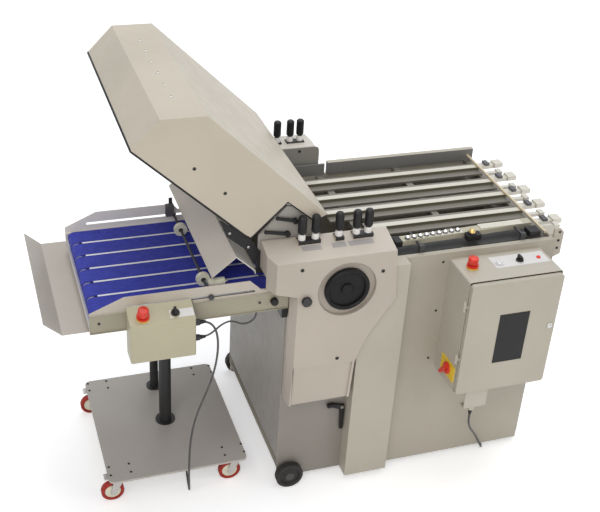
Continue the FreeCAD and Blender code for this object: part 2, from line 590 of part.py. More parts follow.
def near_housing_cover():
    """The moulded cover of the folding unit: bevelled head, column, lower box and handwheel dish."""
    front = [("x_cover_left", "z_cover_top")] + COVER_EDGE + [
        ("x_cover_foot", "z_cover_foot"), ("x_cover_column - 8", "z_cover_foot"),
        ("x_cover_column", "z_cover_shin + 18"), ("x_cover_column", "z_cover_shoulder"),
        ("x_cover_left", "z_cover_chin")]
    back = [("x_cover_left - 22", "z_deck_seam"), ("x_cover_top_right", "z_deck_seam")] + COVER_EDGE[1:] + [
        ("x_cover_foot", "z_cover_foot"), ("x_cover_column - cover_taper", "z_cover_foot"),
        ("x_cover_column - cover_taper", "z_cover_shin + 18"),
        ("x_cover_column - cover_taper", "z_cover_shoulder - 2"),
        ("x_cover_left - 22", "z_cover_chin")]
    shell = Piece("near_cover_shell")
    shell.loft("XZ", ("-cover_front", front), ("-cover_seam", back))
    shell.pad("XZ", "-cover_seam", "-cover_back",
              [("x_frame_left", "z_cover_foot"), ("x_cover_foot", "z_cover_foot")] + COVER_EDGE[:0:-1]
              + [("x_cover_top_right + 8", "z_cover_deck"), ("x_frame_left", "z_cover_deck")])
    shell.pad("YZ", "x_cover_left - 22", "x_cover_top_right",
              [("-cover_seam", "z_cover_deck"), ("y_deck_back", "z_cover_deck"),
               ("y_deck_back", "z_deck_back"), ("-cover_seam", "z_deck_seam")])
    shell.pocket("XZ", "-cover_front", "-cover_front + dish_depth", ("x_shaft", "z_shaft", "dish / 2"))
    shell.pocket("XZ", "-cover_front", "-cover_front + box_recess",
                 [("x_cover_column", "z_cover_foot"), ("x_cover_foot - 9", "z_cover_foot"),
                  ("x_cover_shin - 9", "z_cover_shin"), ("x_cover_column", "z_cover_shin")])
    shell.pocket("XZ", "-cover_front + dish_depth + cover_wall", "-cover_back",
                 [("x_cover_column", "z_cover_foot + cover_wall"),
                  ("x_cover_foot - cover_wall", "z_cover_foot + cover_wall"),
                  ("x_cover_shin - cover_wall", "z_cover_shin"),
                  ("x_cover_knee - cover_wall", "z_cover_knee"),
                  ("x_cover_waist - 2 * cover_wall", "z_cover_waist"),
                  ("x_cover_waist - 2 * cover_wall", "z_cover_deck - cover_wall"),
                  ("x_cover_column", "z_cover_deck - cover_wall")])
    shell.pocket("XZ", "-cover_front", "-cover_back", ("x_shaft", "z_shaft", "shaft / 2 + 4"))
    lands = [knob_lands("near_land", first, last, "y_near_knob", "z_deck_seam - 2", "near_land_top")
             for first, last in ((NEAR_KNOBS[0], NEAR_KNOBS[1]), (NEAR_KNOBS[2], NEAR_KNOBS[2]),
                                 (NEAR_KNOBS[3], NEAR_KNOBS[4]))]
    lock = turned("lock_knob", "x_lock_knob", "-cover_front - lock_knob_height", "z_lock_knob",
                  [("0", "0"), ("lock_knob / 2 - 3", "0"), ("lock_knob / 2", "3"),
                   ("lock_knob / 2", "lock_knob_height - 3"), ("lock_knob / 2 - 4", "lock_knob_height + 2"),
                   ("0", "lock_knob_height + 2")], "Y")
    solid = fuse("near_cover_solid", shell.body, lock, *lands)
    return cut("near_cover_bored", solid, *knob_bores(NEAR_KNOBS, "y_near_knob", "near_land_top"))


def far_housing_cover():
    """The plain cover over the far ends of the rollers."""
    shell = Piece("far_cover_shell")
    shell.pad("XZ", "cover_back", "far_cover_outer",
              [("x_far_cover_left", "far_cover_bottom"), ("x_far_cover_right", "far_cover_bottom"),
               ("x_far_cover_right", "far_cover_top - far_cover_bevel"),
               ("x_far_cover_right - far_cover_bevel", "far_cover_top"),
               ("x_far_cover_left + far_cover_bevel", "far_cover_top"),
               ("x_far_cover_left", "far_cover_top - far_cover_bevel")])
    shell.dress("Fillet", "far_cover_bevel / 2",
                lambda edge: edge.BoundBox.YMin > value("far_cover_outer") - 1)
    wall, inner_bevel = "far_cover_wall", "far_cover_bevel + 2"
    shell.pocket("XZ", "cover_back", "far_cover_outer - far_cover_wall",
                 [("x_far_cover_left + " + wall, "far_cover_bottom + " + wall),
                  ("x_far_cover_right - " + wall, "far_cover_bottom + " + wall),
                  ("x_far_cover_right - " + wall, "far_cover_top - " + inner_bevel),
                  ("x_far_cover_right - " + inner_bevel, "far_cover_top - " + wall),
                  ("x_far_cover_left + " + inner_bevel, "far_cover_top - " + wall),
                  ("x_far_cover_left + " + wall, "far_cover_top - " + inner_bevel)])
    lands = [knob_lands("far_land", first, last, "y_far_knob", "far_cover_top - 18", "far_land_top")
             for first, last in ((FAR_KNOBS[0], FAR_KNOBS[0]), (FAR_KNOBS[1], FAR_KNOBS[2]))]
    solid = fuse("far_cover_solid", shell.body, *lands)
    return cut("far_cover_bored", solid, *knob_bores(FAR_KNOBS, "y_far_knob", "far_land_top"))


def gap_knob(name, x, y, top):
    """A roller gap knob: shaft in its bore, ring, waist and tall ribbed grip."""
    knob = Piece(name + "_turned", x, y, "%s + clearance" % top)
    knob.turn([("0", "2 - knob_bore_depth"), ("knob_shaft / 2", "2 - knob_bore_depth"),
               ("knob_shaft / 2", "0"), ("knob / 2 - 2", "0"), ("knob / 2 - 2", "12"),
               ("knob / 2 - 4", "14"), ("knob / 2 - 4", "22"),
               ("knob / 2", "26"), ("knob / 2", "knob_height - 5"), ("knob / 2 - 4", "knob_height"),
               ("0", "knob_height")])
    return knob.body


node("near_housing_cover", near_housing_cover())
node("far_housing_cover", far_housing_cover())
for side, places in (("near", NEAR_KNOBS), ("far", FAR_KNOBS)):
    for number, x in enumerate(places, 1):
        name = "%s_gap_knob_%d" % (side, number)
        node(name, gap_knob(name, x, "y_%s_knob" % side, side + "_land_top"))

# ---------------------------------------------------------------- handwheel and fold rollers


def handwheel():
    """A turned handwheel in the dish, with a deep rim and its shaft back to the first roller."""
    back = "(-cover_front + dish_depth - 1)"
    wheel = Piece("handwheel_turned", "x_shaft", back + " - handwheel_depth", "z_shaft", "Y")
    rim, web = "handwheel / 2", "handwheel_depth / 2"
    shaft_end = "y_gable + roller_end_play - %s + handwheel_depth" % back
    wheel.turn([("0", "2"), ("handwheel_hub / 2 - 4", "2"), ("handwheel_hub / 2", "6"),
                ("handwheel_hub / 2", web), (rim + " - handwheel_rim", web), (rim + " - handwheel_rim", "4"),
                (rim + " - handwheel_rim + 4", "0"), (rim + " - 4", "0"), (rim, "4"),
                (rim, "handwheel_depth - 4"), (rim + " - 4", "handwheel_depth"),
                (rim + " - handwheel_rim", "handwheel_depth"),
                (rim + " - handwheel_rim", web + " + handwheel_web"),
                ("shaft / 2", web + " + handwheel_web"), ("shaft / 2", shaft_end), ("0", shaft_end)])
    return wheel.body


def fold_roller(name, x, z):
    """A roller between the gables, with a journal in each."""
    low = "(gable + roller_shoulder)"
    high = "(frame_side - side_plate - gable - roller_shoulder - (y_gable))"
    profile = [("0", "roller_end_play"), ("journal / 2", "roller_end_play"), ("journal / 2", low),
               ("fold_roller / 2 - 2", low), ("fold_roller / 2", low + " + 2"),
               ("fold_roller / 2", high + " - 2"), ("fold_roller / 2 - 2", high),
               ("journal / 2", high), ("journal / 2", high + " + 2 * roller_shoulder"),
               ("0", high + " + 2 * roller_shoulder")]
    return turned(name + "_turned", x, "y_gable", z, profile, "Y")


node("handwheel", handwheel())
for number, (x, z) in enumerate(ROLLERS, 1):
    node("fold_roller_%d" % number, fold_roller("fold_roller_%d" % number, x, z))

# ---------------------------------------------------------------- hood, guard and fold plate


def hood():
    """The folded sheet hood, open underneath, with its hinge rod across the inside."""
    shell = Piece("hood_shell")
    shell.pad("XZ", "y_hood_near", "y_hood_far",
              [("x_hood_brow", "z_hood_brow"), ("x_hood_peak_left", "z_hood_peak"),
               ("x_hood_peak_right", "z_hood_peak"), ("x_hood_toe", "z_hood_toe"),
               ("x_hood_heel", "z_hood_heel"), ("x_hood_notch", "z_hood_notch"),
               ("x_hood_tip", "z_hood_tip"), ("x_hood_chin", "z_hood_chin")])
    shell.hollow("sheet_wall", lambda normal: normal.z < -0.3)
    pivot = rod("hood_hinge_rod", "hinge_rod / 2", "x_hinge", "y_hood_near + sheet_wall / 2", "z_hinge",
                "y_hood_far - y_hood_near - sheet_wall", "Y")
    return fuse("hood_whole", shell.body, pivot)


def exit_guard():
    """A bent sheet ridge over the delivery, with a flange on the frame's guard tie."""
    guard = Piece("guard_sheet")
    guard.pad("XZ", "y_guard_near", "y_guard_far",
              [("x_guard_left", "z_guard_left"), ("x_guard_ridge", "z_guard_ridge"),
               ("x_gable_left - 6", "z_guard_right"), ("x_gable_left - 6", "z_gable_lobe"),
               ("x_gable_left - 8", "z_gable_lobe"), ("x_gable_left - 8", "z_guard_right - guard_drop"),
               ("x_guard_ridge", "z_guard_ridge - guard_drop"),
               ("x_guard_left", "z_guard_left - guard_drop")])
    return guard.body


def slanted(start, end, low, high):
    """Corners of a bar on the fold plate's slope, between two lengths and two heights above it."""
    corners = []
    for run, rise in ((start, low), (end, low), (end, high), (start, high)):
        corners.append(("x_fold_mouth - (%s) * cos(fold_angle) + (%s) * sin(fold_angle)" % (run, rise),
                        "z_fold_mouth + (%s) * sin(fold_angle) + (%s) * cos(fold_angle)" % (run, rise)))
    return corners


FOLD_SLATS = 9


def fold_plate():
    """The buckle plate under the hood: two rails, two cross bars and a grid of slats."""
    plate = Piece("fold_grid")
    near, far = "y_gable + gable", "frame_side - side_plate - gable"
    end = "fold_length - 10"
    plate.pad("XZ", near, near + " + fold_rail_width", slanted("0", "fold_length", "0", "fold_rail"))
    plate.pad("XZ", near, far, slanted("10", "10 + fold_bar", "0", "fold_rail - 4"))
    plate.pad("XZ", near, far, slanted(end + " - fold_bar", end, "0", "fold_rail - 4"))
    plate.pad("XZ", far + " - fold_rail_width", far, slanted("0", "fold_length", "0", "fold_rail"))
    plate.pad("XZ", near + " + fold_slat_inset", near + " + fold_slat_inset + fold_slat",
              slanted("0", end, "4", "4 + fold_slat_depth"))
    plate.along("Y", "(%s) - (%s) - 2 * fold_slat_inset - fold_slat" % (far, near), FOLD_SLATS)
    return plate.body


node("hood", hood())
node("exit_guard", exit_guard())
node("fold_plate", fold_plate())

# ---------------------------------------------------------------- register table and side guide
BARS = [("y_bar_a", "x_first_bar_left"), ("y_bar_b", "x_bar_left"), ("y_bar_c", "x_bar_left"),
        ("y_bar_d", "x_bar_left")]
STUBS = ["y_stub_a", "y_stub_b", "y_stub_c", "y_stub_d", "y_stub_e"]
GUIDE_RODS = ["x_guide_rod_a", "x_guide_rod_b"]


def table_bar(y, x_left):
    """A hat-shaped slat along X."""
    bar = Piece("table_bar")
    half, ridge = "bar_width / 2", "bar_ridge / 2"
    low, step, high = "frame_top", "frame_top + bar_base", "frame_top + bar_height"
    bar.pad("YZ", x_left, "x_bar_right",
            [("%s - %s" % (y, half), low), ("%s + %s" % (y, half), low), ("%s + %s" % (y, half), step),
             ("%s + %s" % (y, ridge), step), ("%s + %s" % (y, ridge), high), ("%s - %s" % (y, ridge), high),
             ("%s - %s" % (y, ridge), step), ("%s - %s" % (y, half), step)])
    return bar.body


def register_table():
    """Slats and the guide's shelf on three cross members, a rod across their right ends and stub bars."""
    z = ("frame_top - cross_depth", "frame_top")
    across = ("-frame_side + side_plate", "frame_side - side_plate")
    parts = [box("table_cross_a", ("x_cross_a", "x_cross_a + cross_width"),
                 ("y_gable + gable", across[1] + " - gable"), z),
             box("table_cross_b", ("x_cross_b", "x_cross_b + cross_width"), across, z),
             box("table_cross_c", ("x_frame_right - cross_width - 6", "x_frame_right"), across, z)]
    parts.append(box("table_shelf", ("x_shelf_left", "x_frame_right"), ("y_shelf_near", "y_shelf_far"),
                     ("frame_top - shelf", "frame_top")))
    parts += [table_bar(y, x_left) for y, x_left in BARS]
    parts.append(rod("table_end_rod", "end_rod / 2", "x_bar_right - end_rod / 2", "y_end_rod_near",
                     "frame_top + bar_height + end_rod / 2 - 0.5", "y_end_rod_far - y_end_rod_near", "Y"))
    for y in STUBS:
        low, high = y + " - stub_width / 2", y + " + stub_width / 2"
        parts.append(box("table_stub", ("x_frame_right - 6", "x_stub_right - stub_head / 2"), (low, high),
                         ("frame_top - stub_depth", "frame_top")))
        parts.append(box("stub_head", ("x_stub_right - stub_head", "x_stub_right"),
                         (low + " - 5", high + " + 5"), ("frame_top - stub_depth + 3", "frame_top + 6")))
    return fuse("register_table_whole", *parts)


def guide_rods():
    """The two rods on the near side plate that the side guide slides along."""
    z = "frame_top + bar_height + guide_height / 2 + clearance"
    parts = []
    for x in GUIDE_RODS:
        parts.append(box("guide_rod_block", (x + " - 9", x + " + 9"),
                         ("-frame_side", "-frame_side + side_plate"),
                         ("frame_top", z + " + guide_rod / 2 + 4")))
        parts.append(rod("guide_rod", "guide_rod / 2", x, "-frame_side + side_plate", z,
                         "y_guide_rod_end + frame_side - side_plate", "Y"))
    return parts


def side_guide():
    """The long register guide, bent in plan, bored for its two rods."""
    z_low = "frame_top + bar_height + clearance"
    bar = Piece("guide_bar")
    spots = [("x_guide_left", "y_guide_left"), ("x_guide_bend", "y_guide_bend"),
             ("x_guide_right", "y_guide_right")]
    outline = [(x, y + " - guide_width / 2") for x, y in spots]
    outline += [(x, y + " + guide_width / 2") for x, y in reversed(spots)]
    bar.pad("XY", z_low, z_low + " + guide_height", outline)
    bores = [rod("guide_bore", "guide_rod / 2 + running_fit", x, "y_guide_left - guide_width",
                 z_low + " + guide_height / 2", "y_guide_right - y_guide_left + 2 * guide_width", "Y")
             for x in GUIDE_RODS]
    return cut("side_guide_bored", bar.body, *bores)


node("register_table", register_table())
node("side_guide", side_guide())

# ---------------------------------------------------------------- electric box and its controls


def electric_box():
    """Sheet box with bores and bezels on its top, the switch plate, hinge knuckles and cable bracket."""
    y_back = "-frame_side - panel_depth"
    shell = Piece("box_shell")
    shell.pad("XZ", "-box_front", y_back, [("x_box_left", "box_bottom"), ("x_box_right", "box_bottom"),
                                           ("x_box_right", "box_top"), ("x_box_left", "box_top")])
    shell.dress("Fillet", "box_corner", lambda edge: runs_along(edge, "Y"))
    shell.hollow("sheet_wall", lambda normal: normal.y < -0.5)
    parts = [shell.body]
    parts.append(rod("stop_collar", "stop_collar / 2", "x_box_stop", "y_controls", "box_top - sheet_wall",
                     "stop_collar_height + sheet_wall"))
    for name, x in (("start_bezel", "x_start"), ("speed_bezel", "x_speed")):
        parts.append(rod(name, "bezel / 2", x, "y_controls", "box_top - sheet_wall",
                         "bezel_height + sheet_wall"))
    parts.append(box("switch_plate", ("x_box_left - switch_plate", "x_box_left"),
                     ("y_switch - switch_plate_width / 2", "y_switch + switch_plate_width / 2"),
                     ("z_switch - switch_plate_height / 2", "z_switch + switch_plate_height / 2")))
    x_pin = "x_box_left - hinge_barrel / 2"
    knuckle = "(hinge_length / 3 - clearance)"
    for z in ("z_hinge_low", "z_hinge_high"):
        parts.append(rod("hinge_pin", "hinge_pin / 2", x_pin, "-box_front", z, "hinge_length"))
        for low in (z, z + " + 2 * hinge_length / 3 + clearance"):
            parts.append(rod("hinge_knuckle", "hinge_barrel / 2", x_pin, "-box_front", low, knuckle))
            parts.append(box("hinge_leaf", (x_pin, "x_box_left"), ("-box_front", "-box_front + hinge_barrel"),
                             (low, "%s + %s" % (low, knuckle))))
    y_bracket = "-box_front + 4"
    x = ("x_bracket_left", "x_bracket_right")
    parts.append(box("bracket_drop", x, (y_bracket, y_bracket + " + bracket_wall"),
                     ("box_bottom - bracket_drop", "box_bottom")))
    parts.append(box("bracket_shelf", x, (y_bracket, y_bracket + " + bracket_reach"),
                     ("box_bottom - bracket_drop", "box_bottom - bracket_drop + bracket_wall")))
    parts.append(rod("mains_gland", "gland / 2", "x_mains", y_bracket + " + bracket_reach / 2",
                     "box_bottom - bracket_drop - gland_length", "gland_length"))
    solid = fuse("electric_box_solid", *parts)
    bores = [rod("control_bore", "control_bore / 2 + running_fit", x, "y_controls",
                 "box_top - 2 * sheet_wall", "stop_collar_height + 3 * sheet_wall")
             for x in ("x_box_stop", "x_start", "x_speed")]
    bores.append(rod("switch_bore", "switch_shaft / 2 + running_fit", "x_box_left - 2 * switch_plate",
                     "y_switch", "z_switch", "3 * switch_plate", "X"))
    return cut("electric_box_bored", solid, *bores)


def electric_box_door():
    """The door pan, with a bored knuckle at each hinge."""
    pan = Piece("door_pan")
    left, right = "x_box_left + door_inset", "x_box_right - door_inset"
    low, high = "box_bottom + door_inset", "box_top - 2 * door_inset"
    pan.pad("XZ", "-box_front - door_depth", "-box_front",
            [(left, low), (right, low), (right, high), (left, high)])
    pan.dress("Fillet", "door_corner", lambda edge: runs_along(edge, "Y"))
    pan.hollow("sheet_wall", lambda normal: normal.y > 0.5)
    parts = [pan.body]
    x_pin = "x_box_left - hinge_barrel / 2"
    for z in ("z_hinge_low", "z_hinge_high"):
        z_knuckle = z + " + hinge_length / 3"
        parts.append(rod("door_knuckle", "hinge_barrel / 2", x_pin, "-box_front", z_knuckle,
                         "hinge_length / 3"))
        parts.append(box("door_leaf", (x_pin, left + " + sheet_wall"),
                         ("-box_front - hinge_barrel / 2", "-box_front - hinge_barrel / 2 + 4"),
                         (z_knuckle, z_knuckle + " + hinge_length / 3")))
    bores = [rod("knuckle_bore", "hinge_pin / 2 + running_fit", x_pin, "-box_front", z, "hinge_length")
             for z in ("z_hinge_low", "z_hinge_high")]
    return cut("electric_box_door_bored", fuse("door_solid", *parts), *bores)


def stop_button(name, x, y, z, axis="Z"):
    """A mushroom head on its stem; the panel's surface is at height 0."""
    low = "stop_collar_height + stop_travel + clearance"
    high = low + " + stop_head_height"
    return turned(name + "_turned", x, y, z, [
        ("0", "-control_depth"), ("control_bore / 2", "-control_depth"), ("control_bore / 2", low),
        ("stop_head / 2 - 2", low), ("stop_head / 2", low + " + 2"), ("stop_head / 2", high + " - 5"),
        ("stop_head / 2 - 3", high + " - 1"), ("stop_head / 2 - 8", high), ("0", high)], axis)


def selector(name, x, y, z, axis="Z"):
    """A selector: stem, disc and a raised grip across it; the panel's surface is at height 0."""
    knob = Piece(name + "_turned", x, y, z, axis)
    low = "bezel_height + clearance"
    top = low + " + selector_disc_height"
    knob.turn([("0", "-control_depth"), ("control_bore / 2", "-control_depth"),
               ("control_bore / 2", low), ("selector_disc / 2", low), ("selector_disc / 2", top + " - 1"),
               ("selector_disc / 2 - 1", top), ("0", top)])
    half, reach = "selector_bar / 2", "(selector_disc / 2 - 1)"
    knob.pad("XY", top, top + " + selector_bar_height",
             [("-" + half, "-" + reach), (half, "-" + reach), (half, reach), ("-" + half, reach)])
    return knob.body


def start_button():
    """A flat push button, a little proud of its bezel."""
    return turned("start_button_turned", "x_start", "y_controls", "box_top", [
        ("0", "-control_depth"), ("control_bore / 2", "-control_depth"),
        ("control_bore / 2", "start_height - 1"),
        ("control_bore / 2 - 1", "start_height"), ("0", "start_height")])


def main_switch_handle():
    """A rotary isolator handle: shaft, disc and a bar grip, standing at its OFF angle."""
    handle = Piece("main_switch_turned", "x_box_left - switch_plate - clearance", "y_switch", "z_switch", "X")
    handle.turn([("0", "-switch_disc_depth"), ("switch_disc / 2 - 2", "-switch_disc_depth"),
                 ("switch_disc / 2", "2 - switch_disc_depth"), ("switch_disc / 2", "0"),
                 ("switch_shaft / 2", "0"), ("switch_shaft / 2", "2 * switch_plate"),
                 ("0", "2 * switch_plate")])
    half, side = "switch_grip / 2", "switch_grip_width / 2"
    corners = []
    for u, v in (("-" + half, "-" + side), (half, "-" + side), (half, side), ("-" + half, side)):
        corners.append(("(%s) * cos(switch_tilt) - (%s) * sin(switch_tilt)" % (u, v),
                        "(%s) * sin(switch_tilt) + (%s) * cos(switch_tilt)" % (u, v)))
    handle.pad("XY", "-switch_disc_depth - switch_grip_depth", "-switch_disc_depth", corners)
    return handle.body


node("electric_box", electric_box())
node("electric_box_door", electric_box_door())
node("box_stop_button", stop_button("box_stop_button", "x_box_stop", "y_controls", "box_top"))
node("start_button", start_button())
node("speed_selector", selector("speed_selector", "x_speed", "y_controls", "box_top"))
node("main_switch_handle", main_switch_handle())

# ---------------------------------------------------------------- levers


def ball_lever(name, tag):
    """A hub on a pin through the near gable, and a thin rod to a ball."""
    x, z, x_ball, z_ball = (pattern % tag for pattern in ("x_%s", "z_%s", "x_%s_ball", "z_%s_ball"))
    lean = math.degrees(math.atan2(value(x_ball) - value(x), value(z_ball) - value(z)))
    pin = rod(name + "_pin", "lever_pin / 2", x, "y_lever", z, "y_gable + gable - y_lever", "Y")
    hub = rod(name + "_hub", "lever_hub / 2", x, "y_lever - lever_thick / 2", z, "lever_thick", "Y")
    arm = doc.addObject("Part::Cylinder", name + "_arm")
    arm.setExpression("Radius", bound("lever_rod / 2"))
    arm.setExpression("Height", bound("sqrt((%s - %s)^2 + (%s - %s)^2)" % (x_ball, x, z_ball, z)))
    arm.Placement = Placement(Vector(), Rotation(Vector(0, 1, 0), lean))
    place(arm, x, "y_lever", z)
    ball = doc.addObject("Part::Sphere", name + "_ball")
    ball.setExpression("Radius", bound("lever_ball / 2"))
    ball.Placement = Placement(Vector(), Rotation(Vector(0, 1, 0), lean))
    place(ball, x_ball, "y_lever", z_ball)
    return fuse(name + "_whole", pin, hub, arm, ball)


def floor_lever():
    """A flat bell crank on a pin of the access panel: grip to the left, tail down."""
    crank = Piece("floor_crank")
    y = "-frame_side - sheet_wall - floor_lever_stand"
    crank.pad("XZ", y, y + " + floor_lever_thick",
              [("x_floor_grip", "z_floor_grip - 8"), ("x_floor_lever - 6", "z_floor_lever - 10"),
               ("x_floor_rod - floor_rod_width / 2", "z_floor_rod"),
               ("x_floor_rod + floor_rod_width / 2", "z_floor_rod"),
               ("x_floor_lever + 10", "z_floor_lever - 6"), ("x_floor_lever + 8", "z_floor_lever + 9"),
               ("x_floor_lever - 8", "z_floor_lever + 11"), ("x_floor_grip", "z_floor_grip + 8")],
              ("x_floor_lever", "z_floor_lever", "floor_lever_pin / 2 + running_fit"))
    grip = turned("floor_lever_grip", "x_floor_grip - 22", y + " + floor_lever_thick / 2", "z_floor_grip",
                  [("0", "0"), ("7", "0"), ("9", "3"), ("9", "22"), ("7", "26"), ("0", "26")], "X")
    return fuse("floor_lever_whole", crank.body, grip)


def main_frame():
    """Side plates, gables, ties, guide rods and feet, bored for the two ball levers."""
    solid = fuse("main_frame_solid", *side_plates(), *gable_plates(), *frame_ties(), *guide_rods(),
                 *levelling_feet())
    bores = [rod("lever_bore", "lever_pin / 2 + running_fit", x, "y_gable - 1", z, "gable + 2", "Y")
             for x, z in (("x_lever_a", "z_lever_a"), ("x_lever_b", "z_lever_b"))]
    return cut("main_frame_bored", solid, *bores)


node("main_frame", main_frame())
node("upper_ball_lever", ball_lever("upper_ball_lever", "lever_a"))
node("lower_ball_lever", ball_lever("lower_ball_lever", "lever_b"))
node("floor_lever", floor_lever())

# ---------------------------------------------------------------- conveyor
Z_ROLLER = "(belt_top - belt_wall - clearance - conveyor_roller / 2)"
BED_TOP = "belt_top - belt_wall - 2 * clearance"


def conveyor_rail(name, inner, side, x_slot, fence):
    """A C channel with a fence above it; side is -1 for the near rail and 1 for the far one."""
    rail = Piece(name + "_channel")
    web, lip = "%s + %d * rail_wall" % (inner, side), "%s + %d * rail_flange" % (inner, side)
    rail.pad("YZ", "x_rail_left", "x_rail_right",
             [(inner, "rail_bottom"), (lip, "rail_bottom"), (lip, "rail_bottom + rail_wall"),
              (web, "rail_bottom + rail_wall"), (web, "rail_step - rail_wall"),
              (lip, "rail_step - rail_wall"), (lip, "rail_step"), (inner, "rail_step")])
    low, high = (web, inner) if side < 0 else (inner, web)
    rail.pad("XZ", low, high, fence)
    below, above = "z_press - press_slot / 2", "z_press + press_slot / 2"
    rail.pocket("XZ", low, high, [(x_slot, below), ("x_slot_right", below), ("x_slot_right", above),
                                  (x_slot, above)])
    for x in ("x_end_roller", "x_drive_roller"):
        rail.pocket("XZ", low, high, (x, Z_ROLLER, "conveyor_journal / 2 + running_fit"))
    return rail.body


def near_rail():
    fence = [("x_rail_left", "rail_step"), ("x_rail_right", "rail_step"),
             ("x_slot_right + 21", "rail_step + 14"), ("x_near_fence_right", "near_fence_top"),
             ("x_fence_left", "near_fence_top"), ("x_rail_left", "rail_step + 6")]
    return conveyor_rail("near_rail", "y_near_rail", -1, "x_near_slot", fence)


def far_rail():
    low_top = "z_gable_lobe - 2"
    fence = [("x_rail_left", "rail_step"), ("x_rail_right", "rail_step"), ("x_rail_right", low_top),
             ("x_guard_left - 4", low_top), ("x_guard_left - 22", "far_fence_top"),
             ("x_fence_left", "far_fence_top"), ("x_rail_left", "rail_step + 6")]
    rail = conveyor_rail("far_rail", "y_far_rail", 1, "x_far_slot", fence)
    post = box("guard_post", ("x_post - post_width / 2", "x_post + post_width / 2"),
               ("y_far_rail + rail_wall", "y_far_rail + rail_flange"),
               ("z_press + press_nut / 2 + 2", "post_top"))
    return fuse("far_rail_whole", rail, post)


def slider_bed():
    """The bright bed under the belts, with side webs, a cross channel on the columns and the dock bar."""
    y = ("y_near_rail", "y_far_rail")
    bed_low = BED_TOP + " - bed_plate"
    parts = [box("bed_plate", ("x_bed_left", "x_bed_right"), y, (bed_low, BED_TOP))]
    for low, high in (("y_near_rail", "y_near_rail + web"), ("y_far_rail - web", "y_far_rail")):
        parts.append(box("bed_web", ("x_rail_left", "x_rail_right"), (low, high), ("rail_bottom", bed_low)))
    parts.append(box("bed_channel", ("x_channel - channel_width / 2", "x_channel + channel_width / 2"), y,
                     ("rail_bottom - channel_depth", "rail_bottom")))
    parts.append(box("bed_cross_bar", ("x_cross_bar", "x_cross_bar + cross_bar_width"), y,
                     ("rail_bottom", "rail_bottom + cross_bar_depth")))
    parts.append(box("bed_dock", ("x_rail_right - dock_width", "x_rail_right"), y,
                     ("rail_bottom - channel_depth", "rail_bottom")))
    bores = [rod("roller_bore", "conveyor_journal / 2 + running_fit", x, "y_near_rail - 1", Z_ROLLER,
                 "y_far_rail - y_near_rail + 2", "Y") for x in ("x_end_roller", "x_drive_roller")]
    return cut("slider_bed_bored", fuse("slider_bed_solid", *parts), *bores)


def conveyor_roller(name, x):
    """A crowned roller between the bed's webs, with a journal through each rail."""
    low = "rail_wall + web + 2"
    high = "y_far_rail - y_near_rail + rail_wall - web - 2"
    whole = "y_far_rail - y_near_rail + 2 * rail_wall"
    return turned(name + "_turned", x, "y_near_rail - rail_wall", Z_ROLLER, [
        ("0", "0"), ("conveyor_journal / 2", "0"), ("conveyor_journal / 2", low),
        ("conveyor_roller / 2 - 1", low), ("conveyor_roller / 2", low + " + 20"),
        ("conveyor_roller / 2", high + " - 20"), ("conveyor_roller / 2 - 1", high),
        ("conveyor_journal / 2", high), ("conveyor_journal / 2", whole), ("0", whole)], "Y")


def loop(name, radius, low, high):
    """The stadium round both rollers, at a radius."""
    width = "(%s) - (%s)" % (high, low)
    ends = [rod(name + "_end", radius, x, low, Z_ROLLER, width, "Y")
            for x in ("x_end_roller", "x_drive_roller")]
    middle = box(name + "_middle", ("x_end_roller", "x_drive_roller"), (low, high),
                 ("%s - (%s)" % (Z_ROLLER, radius), "%s + %s" % (Z_ROLLER, radius)))
    return fuse(name, middle, *ends)


def conveyor_belts():
    """The flat endless belts, side by side round both rollers, and a narrow one at the near edge."""
    pitch = "(y_belts_far - y_belts_near - belt_width) / (belt_count - 1)"
    inside = "conveyor_roller / 2 + clearance"
    places = [("y_near_rail + web + 2", "edge_belt")]
    for number in range(int(value("belt_count"))):
        places.append(("y_belts_near + %d * %s" % (number, pitch), "belt_width"))
    belts = []
    for low, width in places:
        outer = loop("belt_outside", inside + " + belt_wall", low, "%s + %s" % (low, width))
        inner = loop("belt_inside", inside, low + " - 1", "%s + %s + 1" % (low, width))
        belts.append(cut("belt", outer, inner))
    return group("belts", *belts)


def press_shaft():
    """The delivery press: a rod in the slots of both rails with two wheels and end nuts."""
    y_start = "y_near_rail - rail_wall - 6"
    bar = rod("press_rod", "press_rod / 2", "x_press", y_start, "z_press",
              "y_far_rail - y_near_rail + 2 * rail_wall + 12", "Y")
    parts = [bar]
    for y in ("y_press_wheel_a", "y_press_wheel_b"):
        parts.append(rod("press_wheel", "z_press - belt_top - clearance", "x_press",
                         y + " - press_wheel_width / 2", "z_press", "press_wheel_width", "Y"))
    for y in (y_start, "y_far_rail + rail_wall + clearance"):
        parts.append(rod("press_nut", "press_nut / 2", "x_press", y, "z_press", "6 - clearance", "Y"))
    return fuse("press_shaft_whole", *parts)


def catch_tray():
    """The sheet catcher at the delivery end, hung on the bed's cross bar, with a raised outer lip."""
    tray = Piece("tray_sheet")
    top = "tray_bottom + tray_wall"
    tray.pad("XZ", "y_tray_near", "y_tray_far",
             [("x_tray_bend", "tray_bottom"), ("x_tray_inner", "tray_bottom"),
              ("x_tray_inner", "rail_bottom"), ("x_tray_inner - tray_wall", "rail_bottom"),
              ("x_tray_inner - tray_wall", top), ("x_tray_bend + 1", top), ("x_tray_lip", "tray_lip_top"),
              ("x_tray_lip - 1", "tray_lip_top - 2")])
    return tray.body


node("conveyor_near_rail", near_rail())
node("conveyor_far_rail", far_rail())
node("slider_bed", slider_bed())
node("end_roller", conveyor_roller("end_roller", "x_end_roller"))
node("drive_roller", conveyor_roller("drive_roller", "x_drive_roller"))
node("conveyor_belts", conveyor_belts())
node("press_shaft", press_shaft())
node("catch_tray", catch_tray())

